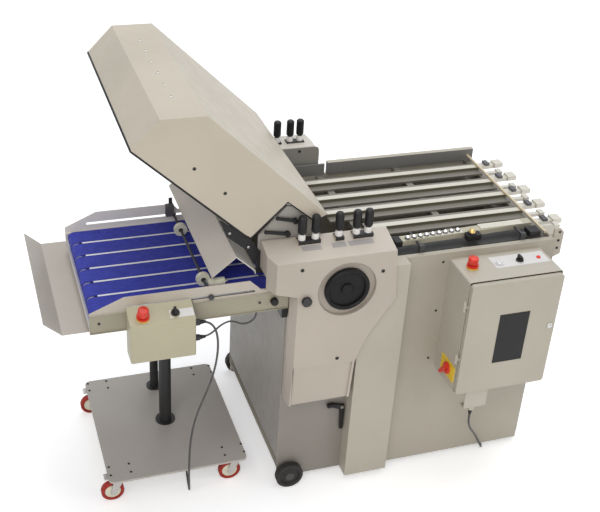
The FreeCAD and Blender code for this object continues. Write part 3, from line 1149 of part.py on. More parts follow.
# ---------------------------------------------------------------- conveyor control box
AXES["panel"] = Rotation(Vector(1, 0, 0), value("panel_tilt"))
Y_CONTROL_FRONT = "(y_near_rail - rail_flange - control_box_depth)"
Y_PANEL_CONTROLS = "(%s + control_setback)" % Y_CONTROL_FRONT
Z_PANEL_CONTROLS = "(control_top + control_setback * tan(panel_tilt))"


def tilted_rod(name, radius, x, start, length):
    """A round bar square to the sloping panel, from a height below its surface."""
    bar = doc.addObject("Part::Cylinder", name)
    bar.setExpression("Radius", bound(radius))
    bar.setExpression("Height", bound(length))
    bar.Placement = Placement(Vector(), AXES["panel"])
    return place(bar, x, "%s - (%s) * sin(panel_tilt)" % (Y_PANEL_CONTROLS, start),
                 "%s + (%s) * cos(panel_tilt)" % (Z_PANEL_CONTROLS, start))


def control_box():
    """A box with a sloping top on the near rail, with bezels on top and two cable glands at the right."""
    shell = Piece("control_shell")
    back = "y_near_rail - rail_flange"
    shell.pad("YZ", "x_control_left", "x_control_right",
              [(Y_CONTROL_FRONT, "control_bottom"), (back, "control_bottom"),
               (back, "control_top + control_box_depth * tan(panel_tilt)"), (Y_CONTROL_FRONT, "control_top")])
    shell.dress("Fillet", "control_corner", lambda edge: runs_along(edge, "Z") and
                edge.BoundBox.YMax < value(Y_CONTROL_FRONT) + 1)
    parts = [shell.body, tilted_rod("conveyor_stop_collar", "stop_collar / 2", "x_conveyor_stop", "-2",
                                    "stop_collar_height + 2"),
             tilted_rod("conveyor_speed_bezel", "bezel / 2", "x_conveyor_speed", "-2", "bezel_height + 2")]
    for z in ("z_gland_high", "z_gland_low"):
        parts.append(rod("control_gland", "control_gland / 2", "x_control_right - 1", "y_gland", z,
                         "control_gland_length + 1", "X"))
    bores = [tilted_rod("panel_bore", "control_bore / 2 + running_fit", x, "-control_depth - stop_travel - 2",
                        "control_depth + stop_travel + stop_collar_height + 5")
             for x in ("x_conveyor_stop", "x_conveyor_speed")]
    return cut("control_box_bored", fuse("control_box_solid", *parts), *bores)


node("control_box", control_box())
node("conveyor_stop_button", stop_button("conveyor_stop_button", "x_conveyor_stop", Y_PANEL_CONTROLS,
                                         Z_PANEL_CONTROLS, "panel"))
node("conveyor_speed_selector", selector("conveyor_speed_selector", "x_conveyor_speed", Y_PANEL_CONTROLS,
                                         Z_PANEL_CONTROLS, "panel"))

# ---------------------------------------------------------------- stand and casters

# A caster stands at each corner of the plate, and those at its left end have a brake.
CASTERS = [(end + "_" + side, "x_caster_" + side, "y_caster_" + end, side == "left")
           for end in ("near", "far") for side in ("left", "right")]
SWIVEL_TOP = "(plate_top - stand_plate - swivel_pad_height - clearance)"


def stand_base():
    """Trolley plate with the two columns and, underneath, each caster's pad and kingpin."""
    plate = Piece("stand_plate")
    plate.pad("XY", "plate_top - stand_plate", "plate_top",
              [("x_plate_left", "y_plate_near"), ("x_plate_right", "y_plate_near"),
               ("x_plate_right", "y_plate_far"), ("x_plate_left", "y_plate_far")])
    plate.dress("Fillet", "plate_corner", lambda edge: runs_along(edge, "Z"))
    parts = [plate.body]
    for y, size in (("y_column_near", "column_near"), ("y_column_far", "column_far")):
        parts.append(rod("column", size + " / 2", "x_column", y, "plate_top",
                         "rail_bottom - channel_depth - plate_top"))
        parts.append(rod("column_flange", size + " / 2 + 14", "x_column", y, "plate_top",
                         "column_flange_height"))
    pad_low = "plate_top - stand_plate - swivel_pad_height"
    for tag, x, y, braked in CASTERS:
        parts.append(box("swivel_pad", (x + " - swivel_pad / 2", x + " + swivel_pad / 2"),
                         (y + " - swivel_pad / 2", y + " + swivel_pad / 2"),
                         (pad_low, "plate_top - stand_plate")))
        parts.append(rod("kingpin", "kingpin / 2", x, y, pad_low + " - kingpin_length", "kingpin_length"))
    return fuse("stand_base_whole", *parts)


def caster_fork(tag, x, y, braked):
    """Crown bored for the kingpin, two raked legs, the axle, and a brake pedal on some."""
    wheel_z, wheel_x = "caster_wheel / 2", "%s - caster_trail" % x
    inner = "(caster_width / 2 + fork_gap)"
    outer = "(caster_width / 2 + fork_gap + fork_wall)"
    left, right, bridge_low = x + " - 20", x + " + 18", SWIVEL_TOP + " - 10"
    parts = [rod("fork_crown", "swivel_pad / 2 - 2", x, y, bridge_low, "10")]
    for low, high in ((y + " - " + outer, y + " - " + inner), (y + " + " + inner, y + " + " + outer)):
        leg = Piece("fork_leg")
        leg.pad("XZ", low, high, [(left, bridge_low), (wheel_x + " - 9", wheel_z + " - 4"),
                                  (wheel_x + " - 5", wheel_z + " - 9"), (wheel_x + " + 5", wheel_z + " - 9"),
                                  (wheel_x + " + 9", wheel_z + " - 4"), (right, bridge_low),
                                  (right, SWIVEL_TOP), (left, SWIVEL_TOP)])
        parts.append(leg.body)
    parts.append(box("fork_bridge", (left, right), (y + " - " + outer, y + " + " + outer),
                     (bridge_low, SWIVEL_TOP)))
    parts.append(rod("fork_axle", "caster_axle / 2", wheel_x, y + " - " + outer, wheel_z, "2 * " + outer,
                     "Y"))
    if braked:
        parts.append(box("brake_pedal", (left + " - pedal_length", left),
                         (y + " - pedal_width / 2", y + " + pedal_width / 2"),
                         (SWIVEL_TOP + " - 4 - pedal_height", SWIVEL_TOP + " - 4")))
    bore = rod("fork_bore", "kingpin / 2 + running_fit", x, y, SWIVEL_TOP + " - 20", "30")
    return cut("fork_bored_" + tag, fuse("fork_" + tag, *parts), bore)


def caster_wheel(tag, x, y):
    """Hub and tread in one turned outline, bored for the axle."""
    radius, width = "caster_wheel / 2", "caster_width"
    return turned("wheel_" + tag + "_turned", x + " - caster_trail", y + " - caster_width / 2", radius, [
        ("caster_axle / 2 + running_fit", "0"), ("15", "0"), ("15", "2"), (radius + " - 12", "5"),
        (radius + " - 10", "1"), (radius + " - 4", "1"), (radius, "5"), (radius, width + " - 5"),
        (radius + " - 4", width + " - 1"), (radius + " - 10", width + " - 1"),
        (radius + " - 12", width + " - 5"), ("15", width + " - 2"), ("15", width),
        ("caster_axle / 2 + running_fit", width)], "Y")


node("stand_base", stand_base())
for tag, x, y, braked in CASTERS:
    node("caster_fork_" + tag, caster_fork(tag, x, y, braked))
    node("caster_wheel_" + tag, caster_wheel(tag, x, y))


# ---------------------------------------------------------------- cables
CONTROL_ROUTE = [
    (-449, -386, 797), (-425, -386, 797), (-401, -394, 776), (-391, -397, 728), (-391, -392, 664),
    (-398, -382, 596), (-411, -370, 528), (-430, -359, 462), (-446, -346, 396), (-458, -338, 328),
    (-465, -333, 260), (-467, -331, 192), (-468, -328, 128), (-466, -324, 70), (-462, -310, 26),
    (-456, -276, 5), (-450, -230, 3.8), (-443, -180, 3.8), (-433, -134, 3.8), (-424, -96, 3.8),
]
LINK_ROUTE = [
    (-449, -386, 740), (-425, -386, 740), (-402, -384, 753), (-377, -377, 769), (-350, -366, 771),
    (-325, -355, 757), (-303, -346, 738), (-281, -341, 734), (-262, -339, 741), (-252, -339, 757),
    (-252, -339, 778),
]
MAINS_ROUTE = [
    (509, -475, 328), (509, -475, 304), (514, -468, 268), (530, -452, 228), (552, -434, 190),
    (577, -414, 154), (602, -397, 116), (625, -382, 76), (645, -371, 40), (661, -356, 13),
    (677, -320, 4.3), (688, -270, 4.3), (695, -218, 4.3), (698, -170, 4.3),
]


def cord_path(points):
    """Straight runs joined by tangent arcs, each as large as its two runs allow."""
    spots = [Vector(*point) for point in points]
    edges, radii = [], []
    start = spots[0]
    for before, corner, after in zip(spots, spots[1:], spots[2:]):
        inward, outward = (corner - before), (after - corner)
        turn = inward.getAngle(outward)
        reach = 0.45 * min(inward.Length, outward.Length)
        radii.append(reach / math.tan(turn / 2))
        inward.normalize()
        outward.normalize()
        arc_start, arc_end = corner - inward * reach, corner + outward * reach
        toward_centre = (outward - inward).normalize()
        middle = corner + toward_centre * radii[-1] * (1 / math.cos(turn / 2) - 1)
        edges.append(Part.LineSegment(start, arc_start).toShape())
        edges.append(Part.Arc(arc_start, middle, arc_end).toShape())
        start = arc_end
    edges.append(Part.LineSegment(start, spots[-1]).toShape())
    return Part.Wire(edges), radii


def cord(name, points, diameter):
    """A round tube along a route."""
    path, radii = cord_path(points)
    radius = value(diameter) / 2
    circle = Part.Wire(Part.makeCircle(radius, Vector(*points[0]), Vector(*points[1]) - Vector(*points[0])))
    sweep = Part.BRepOffsetAPI.MakePipeShell(path)
    sweep.add(circle)
    sweep.build()
    sweep.makeSolid()
    tube = doc.addObject("Part::Feature", name + "_tube")
    tube.Shape = sweep.shape()
    expected = math.pi * radius ** 2 * path.Length
    print("%s: length %.0f, smallest radius %.0f, volume is %.4f of section times length" % (
        name, path.Length, min(radii), tube.Shape.Volume / expected))
    print("  radii " + ", ".join("%.0f" % radius for radius in radii))
    return tube


def cord_coil(name):
    """The outer shape of a neat round coil on the floor."""
    middle, half = name + "_coil_turn / 2", "coil_layers * %s_cord / 2" % name
    inner, outer, high = "%s - %s" % (middle, half), "%s + %s" % (middle, half), "2 * %s" % half
    return turned(name + "_coil_turned", "x_%s_coil" % name, "y_%s_coil" % name, "0", [
        (inner + " + 3", "0"), (outer + " - 3", "0"), (outer, "3"), (outer, high + " - 3"),
        (outer + " - 3", high), (inner + " + 3", high), (inner, high + " - 3"), (inner, "3")])


def cord_plug(name, side):
    """A round plug lying on the floor; its tail is tangent to the coil and long enough to clear it."""
    turn, diameter, body = name + "_coil_turn", name + "_cord", name + "_plug"
    rim = "(%s / 2 + coil_layers * %s / 2)" % (turn, diameter)
    tail = "(sqrt(%s ^ 2 - ((%s - %s) / 2) ^ 2) + 4)" % (rim, turn, body)
    end = "%s + %s_length" % (tail, body)
    x = "x_%s_coil %s %s / 2" % (name, side, turn)
    return turned(name + "_plug_turned", x, "y_%s_coil" % name, body + " / 2", [
        ("0", "0"), (diameter + " / 2", "0"), (diameter + " / 2", tail + " - 12"), (diameter, tail),
        (body + " / 2 - 2", tail), (body + " / 2", tail + " + 2"), (body + " / 2", end + " - 3"),
        (body + " / 2 - 3", end), ("0", end)], "Y")


node("control_cable", cord("control_cable", CONTROL_ROUTE, "control_cord"))
node("mains_cable", cord("mains_cable", MAINS_ROUTE, "mains_cord"))
node("link_cable", cord("link_cable", LINK_ROUTE, "link_cord"))
for name, side in (("control", "+"), ("mains", "-")):
    node(name + "_cable_coil", cord_coil(name))
    node(name + "_cable_plug", cord_plug(name, side))


# ---------------------------------------------------------------- check and write
doc.recompute()
for thing in doc.Objects:
    if "Invalid" in thing.State or "Error" in thing.State:
        raise RuntimeError("%s (%s) failed to build" % (thing.Name, thing.Label))
for thing in nodes:
    if thing.Shape.isNull() or not thing.Shape.isValid():
        raise RuntimeError("%s has no valid shape" % thing.Label)

os.makedirs("parts", exist_ok=True)
for thing in nodes:
    thing.Shape.exportStep("parts/%s.step" % thing.Label)
box_all = Part.makeCompound([thing.Shape for thing in nodes]).BoundBox
print("%d sub-parts, %d solids" % (len(nodes), sum(len(thing.Shape.Solids) for thing in nodes)))
print("x %.1f to %.1f, y %.1f to %.1f, z %.1f to %.1f" % (
    box_all.XMin, box_all.XMax, box_all.YMin, box_all.YMax, box_all.ZMin, box_all.ZMax))
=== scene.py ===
import json
import math

import bmesh
import bpy
from mathutils import Matrix, Vector


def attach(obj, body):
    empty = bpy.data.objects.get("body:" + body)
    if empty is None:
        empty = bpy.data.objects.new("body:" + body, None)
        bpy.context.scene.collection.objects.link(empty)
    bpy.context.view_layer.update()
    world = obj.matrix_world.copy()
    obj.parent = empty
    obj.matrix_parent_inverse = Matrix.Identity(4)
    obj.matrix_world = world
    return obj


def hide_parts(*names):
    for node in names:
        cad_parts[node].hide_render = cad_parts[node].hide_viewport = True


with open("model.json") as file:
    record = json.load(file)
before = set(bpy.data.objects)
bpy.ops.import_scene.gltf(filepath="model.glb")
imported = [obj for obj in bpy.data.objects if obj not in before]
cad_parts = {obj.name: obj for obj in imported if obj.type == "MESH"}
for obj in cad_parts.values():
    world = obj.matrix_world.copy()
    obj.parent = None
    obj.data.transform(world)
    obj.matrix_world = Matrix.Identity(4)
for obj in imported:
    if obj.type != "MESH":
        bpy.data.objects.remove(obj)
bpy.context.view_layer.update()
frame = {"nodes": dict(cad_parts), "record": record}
nodes = frame["nodes"]


# ---------------------------------------------------------------- materials
# The conveyor control box's sloping top: its tilt in degrees, and its lower edge in metres.
PANEL_TILT = 20
PANEL_FOOT_Y = -0.418
PANEL_FOOT_Z = 0.838


class Shader:
    """One node material, whose colour, roughness and bump come from noise in the object's frame."""

    def __init__(self, name):
        self.material = bpy.data.materials.new(name)
        self.material.use_nodes = True
        self.tree = self.material.node_tree
        self.tree.nodes.clear()
        self.out = self.tree.nodes.new("ShaderNodeOutputMaterial")
        self.surface = self.tree.nodes.new("ShaderNodeBsdfPrincipled")
        self.tree.links.new(self.surface.outputs["BSDF"], self.out.inputs["Surface"])
        self.place = self.tree.nodes.new("ShaderNodeTexCoord").outputs["Object"]

    def link(self, source, target):
        self.tree.links.new(source, target)

    def noise(self, scale, detail, stretch=(1, 1, 1), roughness=0.5):
        """Noise with a feature count per metre, stretched along axes."""
        mapping = self.tree.nodes.new("ShaderNodeMapping")
        mapping.inputs["Scale"].default_value = stretch
        self.link(self.place, mapping.inputs["Vector"])
        noise = self.tree.nodes.new("ShaderNodeTexNoise")
        noise.inputs["Scale"].default_value = scale
        noise.inputs["Detail"].default_value = detail
        noise.inputs["Roughness"].default_value = roughness
        self.link(mapping.outputs["Vector"], noise.inputs["Vector"])
        return noise.outputs["Fac"]

    def ramp(self, source, stops):
        """Colours or greys along a value; a stop is (position, colour)."""
        ramp = self.tree.nodes.new("ShaderNodeValToRGB")
        elements = ramp.color_ramp.elements
        while len(elements) < len(stops):
            elements.new(0.5)
        for element, (position, colour) in zip(elements, stops):
            element.position = position
            element.color = (*colour, 1)
        self.link(source, ramp.inputs["Fac"])
        return ramp.outputs["Color"]

    def mix(self, factor, first, second):
        """Blends two colours by a socket's value; a colour may be a socket too."""
        node = self.tree.nodes.new("ShaderNodeMix")
        node.data_type = "RGBA"
        self.link(factor, [s for s in node.inputs if s.name == "Factor" and s.type == "VALUE"][0])
        for name, item in (("A", first), ("B", second)):
            socket = [s for s in node.inputs if s.name == name and s.type == "RGBA"][0]
            if isinstance(item, bpy.types.NodeSocket):
                self.link(item, socket)
            else:
                socket.default_value = (*item, 1)
        return [s for s in node.outputs if s.type == "RGBA"][0]

    def number(self, operation, first, second=0.0):
        """One arithmetic step; each item is a socket or a number."""
        node = self.tree.nodes.new("ShaderNodeMath")
        node.operation = operation
        for socket, item in zip(node.inputs, (first, second)):
            if isinstance(item, bpy.types.NodeSocket):
                self.link(item, socket)
            else:
                socket.default_value = item
        return node.outputs[0]

    def along(self, axis):
        """One coordinate of the object's own frame, in metres."""
        split = self.tree.nodes.new("ShaderNodeSeparateXYZ")
        self.link(self.place, split.inputs[0])
        return split.outputs["XYZ".index(axis)]

    def within(self, **limits):
        """1 inside limits such as x=(low, high), else 0; both ends in millimetres."""
        inside = None
        for axis, (low, high) in limits.items():
            coordinate = self.along(axis.upper())
            step = self.number("MULTIPLY", self.number("GREATER_THAN", coordinate, low / 1000),
                               self.number("LESS_THAN", coordinate, high / 1000))
            inside = step if inside is None else self.number("MULTIPLY", inside, step)
        return inside

    def ring(self, axis, centre, low, high):
        """1 where the distance from a line along an axis lies between two millimetre radii."""
        squares = []
        for name, middle in zip([a for a in "XYZ" if a != axis], centre):
            offset = self.number("SUBTRACT", self.along(name), middle / 1000)
            squares.append(self.number("MULTIPLY", offset, offset))
        distance = self.number("SQRT", self.number("ADD", *squares))
        return self.number("MULTIPLY", self.number("GREATER_THAN", distance, low / 1000),
                           self.number("LESS_THAN", distance, high / 1000))

    def above_panel(self, height):
        """1 above the conveyor control box's sloping top by a height in millimetres."""
        inward = self.number("ADD", self.along("Y"), -PANEL_FOOT_Y)
        slope = self.number("MULTIPLY", inward, math.tan(math.radians(PANEL_TILT)))
        rise = self.number("SUBTRACT", self.along("Z"), PANEL_FOOT_Z)
        rise = self.number("SUBTRACT", rise, slope)
        return self.number("GREATER_THAN", rise, height / 1000)

    def bump(self, source, strength, depth):
        """Fine relief from a value, its depth in metres."""
        node = self.tree.nodes.new("ShaderNodeBump")
        node.inputs["Strength"].default_value = strength
        node.inputs["Distance"].default_value = depth
        self.link(source, node.inputs["Height"])
        self.link(node.outputs["Normal"], self.surface.inputs["Normal"])


def tint(colour, factor):
    return tuple(min(1.0, channel * factor) for channel in colour)


def coloured(shader, base, zones):
    """Links a base colour with zones laid over it; a zone is (colour, mask function)."""
    for colour, mask in zones:
        base = shader.mix(mask(shader), base, colour)
    shader.link(base, shader.surface.inputs["Base Color"])


def paint(name, colour, rough=0.45, grain=900, bump=0.08, zones=()):
    """Satin stoving paint: fine orange peel, slow drift of tone and faint scuffs."""
    shader = Shader(name)
    drift = shader.ramp(shader.noise(3.0, 4),
                        [(0.3, tint(colour, 0.94)), (0.7, tint(colour, 1.04))])
    scuff = shader.ramp(shader.noise(38, 6, roughness=0.75),
                        [(0.62, (0, 0, 0)), (0.82, (1, 1, 1))])
    coloured(shader, shader.mix(scuff, drift, tint(colour, 0.88)), zones)
    satin = shader.ramp(shader.noise(22, 5),
                        [(0.3, (rough - 0.07,) * 3), (0.75, (rough + 0.10,) * 3)])
    shader.link(satin, shader.surface.inputs["Roughness"])
    shader.bump(shader.noise(grain, 2), bump, 0.0004)
    return shader.material


def brushed(name, colour, rough=0.32, stretch=(1, 12, 12), metallic=0.9, zones=()):
    """Ground or rolled metal whose lines run along one axis."""
    shader = Shader(name)
    lines = shader.noise(60, 6, stretch, 0.7)
    tone = shader.ramp(lines, [(0.25, tint(colour, 0.82)), (0.75, tint(colour, 1.1))])
    coloured(shader, tone, zones)
    shader.link(shader.ramp(lines, [(0.2, (rough - 0.08,) * 3), (0.8, (rough + 0.12,) * 3)]),
                shader.surface.inputs["Roughness"])
    shader.surface.inputs["Metallic"].default_value = metallic
    shader.bump(lines, 0.12, 0.0003)
    return shader.material


def moulded(name, colour, rough=0.4, grain=500, bump=0.12, gloss=0.25, zones=()):
    """Moulded plastic or rubber: fine grain and a slightly worn sheen."""
    shader = Shader(name)
    shader.surface.inputs["Specular IOR Level"].default_value = gloss
    tone = shader.ramp(shader.noise(30, 5),
                       [(0.3, tint(colour, 0.85)), (0.75, tint(colour, 1.15))])
    coloured(shader, tone, zones)
    gleam = shader.ramp(shader.noise(70, 4),
                        [(0.3, (rough - 0.08,) * 3), (0.7, (rough + 0.12,) * 3)])
    shader.link(gleam, shader.surface.inputs["Roughness"])
    shader.bump(shader.noise(grain, 2), bump, 0.0003)
    return shader.material


BEIGE = (0.50, 0.445, 0.36)
PANEL_BEIGE = (0.44, 0.405, 0.335)
COVER_BEIGE = (0.463, 0.408, 0.348)
WALL_GREY = (0.25, 0.228, 0.20)
GREY = (0.46, 0.43, 0.385)
STEEL = (0.50, 0.48, 0.46)
TABLE_STEEL = (0.215, 0.20, 0.17)
BELT_BLUE = (0.035, 0.045, 0.36)
TYRE = (0.03, 0.027, 0.026)
BLACK = (0.014, 0.0135, 0.014)
YELLOW = (0.75, 0.52, 0.03)
RED = (0.66, 0.03, 0.012)
CREAM = (0.74, 0.72, 0.58)
DARK_STEEL = (0.035, 0.035, 0.038)

# One finish for each material slot of the record.
LOOK = {
    "hood_paint": paint("hood_paint", BEIGE, 0.42),
    "panel_paint": paint("panel_paint", PANEL_BEIGE, 0.48),
    "dark_paint": paint("dark_paint", WALL_GREY, 0.5),
    "cover_paint": paint("cover_paint", COVER_BEIGE, 0.45),
    "bright_steel": brushed("bright_steel", (0.60, 0.56, 0.53), 0.38, metallic=0.75),
    "machined_steel": brushed("machined_steel", STEEL, 0.3, (12, 1, 12)),
    "zinc_steel": brushed("zinc_steel", (0.52, 0.50, 0.48), 0.42, (3, 3, 3)),
    "chrome_trim": brushed("chrome_trim", (0.75, 0.74, 0.73), 0.18, (6, 1, 6), 1.0),
    "black_plastic": moulded("black_plastic", BLACK, 0.36),
    "red_plastic": moulded("red_plastic", RED, 0.32, gloss=0.5),
    "belt_rubber": moulded("belt_rubber", BELT_BLUE, 0.55, 900),
    "caster_tread": moulded("caster_tread", (0.30, 0.03, 0.02), 0.55),
    "wheel_rubber": moulded("wheel_rubber", TYRE, 0.6),
    "cable_rubber": moulded("cable_rubber", (0.085, 0.083, 0.08), 0.5, 700),
    "clear_guard": paint("clear_guard", (0.49, 0.435, 0.36), 0.42),
}


def wear(node, look):
    """Gives a node one material for all its faces; look is a material or its name in LOOK."""
    slots = node.data.materials
    slots.clear()
    slots.append(LOOK[look] if isinstance(look, str) else look)
    for face in node.data.polygons:
        face.material_index = 0


for entry in frame["record"]["subparts"]:
    wear(nodes[entry["node"]], entry["material_slot"])


# Faces and heights that the scene's own pieces sit at, in millimetres.
HOOD_CHEEK = -288
HOOD_TOP = 1440
COVER_FRONT = -392
SIDE_PANEL_FACE = -342
BRACKET_FACE = -284.4
CORNER_FACE = -330
DOOR_FACE = -512
BOX_TOP = 880
STAND_TOP = 122
GUIDE_TOP = 930
FAR_PANEL_FACE = 324
FAR_COVER_FACE = 440
END_PANEL_FACE = 825
ROLLER_HEIGHT = 813
# Tilt of the near cover's sloping deck, in degrees.
DECK_TILT = 14.6


def knob_land(left, right):
    """Mask of one black land under the near cover's knobs."""
    return lambda s: s.within(x=(left, right), y=(-321.5, -290.5), z=(985, 1004))


# Parts with a finish of their own, or with more than one on the same solid.
wear(nodes["stand_base"], paint("stand_paint", GREY, 0.5, zones=[
    (BLACK, lambda s: s.within(z=(122.5, 737)))]))
for side, top in (("near", 1002), ("far", 1010)):
    look = moulded(side + "_knob_plastic", BLACK, 0.36, zones=[
        ((0.80, 0.78, 0.76), lambda s, top=top: s.within(z=(top, top + 20)))])
    for name, thing in nodes.items():
        if name.startswith(side + "_gap_knob"):
            wear(thing, look)
wear(nodes["near_housing_cover"], paint("near_cover_paint", COVER_BEIGE, 0.45, zones=[
    (BLACK, knob_land(-117, -42)), (BLACK, knob_land(7, 37)), (BLACK, knob_land(67, 137)),
    (BLACK, lambda s: s.within(x=(-124, -86), y=(-420, COVER_FRONT - 0.2), z=(808, 846)))]))
wear(nodes["far_housing_cover"], paint("far_cover_paint", (0.60, 0.56, 0.50), 0.5, zones=[
    (BLACK, lambda s: s.within(z=(1005.3, 1012)))]))
wear(nodes["electric_box"], paint("box_paint", (0.46, 0.425, 0.36), 0.45, zones=[
    (RED, lambda s: s.within(x=(440, 484), z=(885, 893))),
    (YELLOW, lambda s: s.within(x=(440, 484), z=(880.2, 885))),
    (YELLOW, lambda s: s.within(x=(409.8, 413.9), z=(470, 532), y=(-490, -390))),
    ((0.60, 0.60, 0.60), lambda s: s.within(x=(545, 655), z=(880.2, 886)))]))
wear(nodes["control_box"], paint("control_paint", (0.43, 0.395, 0.275), 0.45, zones=[
    (RED, lambda s: s.number("MULTIPLY", s.within(x=(-648, -604)), s.above_panel(5))),
    (YELLOW, lambda s: s.number("MULTIPLY", s.within(x=(-648, -604)), s.number(
        "MULTIPLY", s.above_panel(0.4), s.number("SUBTRACT", 1.0, s.above_panel(5))))),
    (BLACK, lambda s: s.within(x=(-467.5, -440)))]))
for side, x in (("near_left", -722), ("near_right", -303), ("far_left", -722), ("far_right", -303)):
    wear(nodes["caster_wheel_" + side], moulded("tread_" + side, (0.34, 0.03, 0.02), 0.5, zones=[
        (CREAM, lambda s, x=x: s.ring("Y", (x, 40), 0, 27.5))]))
wear(nodes["main_wheels"], moulded("main_wheel_look", TYRE, 0.6, zones=[
    ((0.07, 0.066, 0.062), lambda s: s.ring("Y", (-107, 50), 0, 17))]))
wear(nodes["handwheel"], moulded("handwheel_look", (0.012, 0.0115, 0.0115), 0.42, gloss=0.15))
wear(nodes["floor_lever"], "black_plastic")
wear(nodes["catch_tray"], paint("tray_paint", (0.49, 0.445, 0.395), 0.46))
wear(nodes["near_side_panel"], paint("side_panel_paint", (0.40, 0.365, 0.30), 0.48))
# Painted light: the wrap's left end face, near x -148, is painted a lighter tone than the rest of
# the same sheet, for how the light falls on it.
wear(nodes["cabinet_wrap"], paint("wrap_paint_with_painted_light", WALL_GREY, 0.5, zones=[
    ((0.315, 0.29, 0.255), lambda s: s.within(x=(-149, -147)))]))
wear(nodes["main_frame"], paint("frame_paint", PANEL_BEIGE, 0.48, zones=[
    ((0.17, 0.165, 0.155), lambda s: s.within(y=(300, 321.6), z=(893, 941.6))),
    ((0.30, 0.285, 0.255), lambda s: s.within(x=(-243, -50), y=(-286, -270), z=(962, 1113))),
    # Painted shadow: the gable's lower left, in shade under the hood and behind the exit guard, is
    # painted black.
    (BLACK, lambda s: s.within(x=(-243, -150), y=(-324, -269), z=(850, 962))),
    (DARK_STEEL, lambda s: s.within(x=(307, 327), y=(-323, -200), z=(893.5, 940))),
    (DARK_STEEL, lambda s: s.within(x=(682, 702), y=(-323, -200), z=(893.5, 940)))]))
wear(nodes["slider_bed"], brushed("bed_steel", (0.72, 0.70, 0.68), 0.38, metallic=0.6, zones=[
    (BLACK, lambda s: s.within(x=(-178, -140), z=(730, 790)))]))
wear(nodes["conveyor_belts"], moulded("belt_look", BELT_BLUE, 0.55, 900, zones=[
    ((0.10, 0.09, 0.075), lambda s: s.within(x=(-690, -195), y=(-345, -312)))]))
wear(nodes["conveyor_near_rail"], paint("near_rail_paint", (0.48, 0.435, 0.37), 0.45, zones=[
    ((0.33, 0.30, 0.225), lambda s: s.within(z=(700, 846)))]))
# The far rail's pale paint is partly its own colour and partly painted light: it is raised well
# above the near rail's to stand in for light on its inner face.
wear(nodes["conveyor_far_rail"], paint("far_rail_paint_with_painted_light", (0.80, 0.77, 0.72), 0.4, zones=[
    (DARK_STEEL, lambda s: s.within(x=(-424, -408), z=(899, 930)))]))
# Painted light: the guard's right flank, from x -307 to -230, is painted near white to stand in for
# the light falling on it.
wear(nodes["exit_guard"], paint("guard_paint_with_painted_light", (0.66, 0.61, 0.54), 0.42, zones=[
    ((0.92, 0.90, 0.85), lambda s: s.within(x=(-307, -230)))]))
wear(nodes["press_shaft"], moulded("press_look", DARK_STEEL, 0.34, gloss=0.4, zones=[
    (CREAM, lambda s: s.number(
        "MULTIPLY", s.within(y=(-300, 150)), s.ring("Y", (-403, 858), 8, 60)))]))
for name in ("end_roller", "drive_roller"):
    wear(nodes[name], brushed(name + "_steel", STEEL, 0.3, (12, 1, 12), zones=[
        ((0.30, 0.275, 0.21), lambda s: s.within(y=(-347, -344)))]))
wear(nodes["register_table"], brushed("table_steel", TABLE_STEEL, 0.42, metallic=0.35, zones=[
    ((0.13, 0.12, 0.075), lambda s: s.within(z=(901, 911))),
    # Painted highlight: a near-white band along the top of each bar's ridge.
    ((0.60, 0.575, 0.50), lambda s: s.within(z=(911, 912.2))),
    ((0.055, 0.056, 0.056), lambda s: s.within(x=(199, 781), y=(-301, -214), z=(880, 893.3))),
    ((0.62, 0.59, 0.52), lambda s: s.within(x=(809, 913))),
    ((0.62, 0.53, 0.38), lambda s: s.within(x=(778, 792), z=(911.3, 925)))]))
wear(nodes["side_guide"], brushed("guide_look", (0.46, 0.43, 0.33), 0.4, metallic=0.3))

# ---------------------------------------------------------------- cables
# Lengths in metres: each run to the floor, and the coil put away there under the machine.
CONTROL_ROUTE = [
    (-.449, -.386, .797), (-.425, -.386, .797), (-.401, -.394, .776), (-.391, -.397, .728),
    (-.391, -.392, .664), (-.398, -.382, .596), (-.411, -.370, .528), (-.430, -.359, .462),
    (-.446, -.346, .396), (-.458, -.338, .328), (-.465, -.333, .260), (-.467, -.331, .192),
    (-.468, -.328, .128), (-.466, -.324, .070), (-.462, -.310, .026), (-.456, -.276, .005),
    (-.450, -.230, .0038), (-.443, -.180, .0038), (-.433, -.134, .0038), (-.424, -.096, .0038),
]
LINK_ROUTE = [
    (-.449, -.386, .740), (-.425, -.386, .740), (-.402, -.384, .753), (-.377, -.377, .769),
    (-.350, -.366, .771), (-.325, -.355, .757), (-.303, -.346, .738), (-.281, -.341, .734),
    (-.262, -.339, .741), (-.252, -.339, .757), (-.252, -.339, .778),
]
MAINS_ROUTE = [
    (.509, -.475, .328), (.509, -.475, .304), (.514, -.468, .268), (.530, -.452, .228),
    (.552, -.434, .190), (.577, -.414, .154), (.602, -.397, .116), (.625, -.382, .076),
    (.645, -.371, .040), (.661, -.356, .013), (.677, -.320, .0043), (.688, -.270, .0043),
    (.695, -.218, .0043), (.698, -.170, .0043),
]


def coil_turns(centre, turn, diameter, start, sweep, end_height):
    """Points of nine neat turns on the floor, three beside and three on each other, in metres.

    turn is the middle lap's diameter; start and sweep are in degrees.
    """
    slots = [(0, 0), (1, 0), (1, 1), (0, 1), (-1, 0), (-1, 1), (-1, 2), (0, 2), (1, 2),
             (0, end_height / diameter - 0.5)]
    steps = round(abs(sweep) / 22.5)
    points = []
    for step in range(1, steps + 1):
        laps = abs(sweep) * step / steps / 360
        lap = min(8, int(laps))
        share = max(0.0, (laps - lap - 0.75) * 4)
        out, up = (here + (following - here) * min(1.0, share)
                   for here, following in zip(slots[lap], slots[lap + 1]))
        radius = turn / 2 + diameter * out
        angle = math.radians(start + sweep * step / steps)
        points.append((centre[0] + radius * math.cos(angle), centre[1] + radius * math.sin(angle),
                       diameter * (0.5 + up)))
    return points


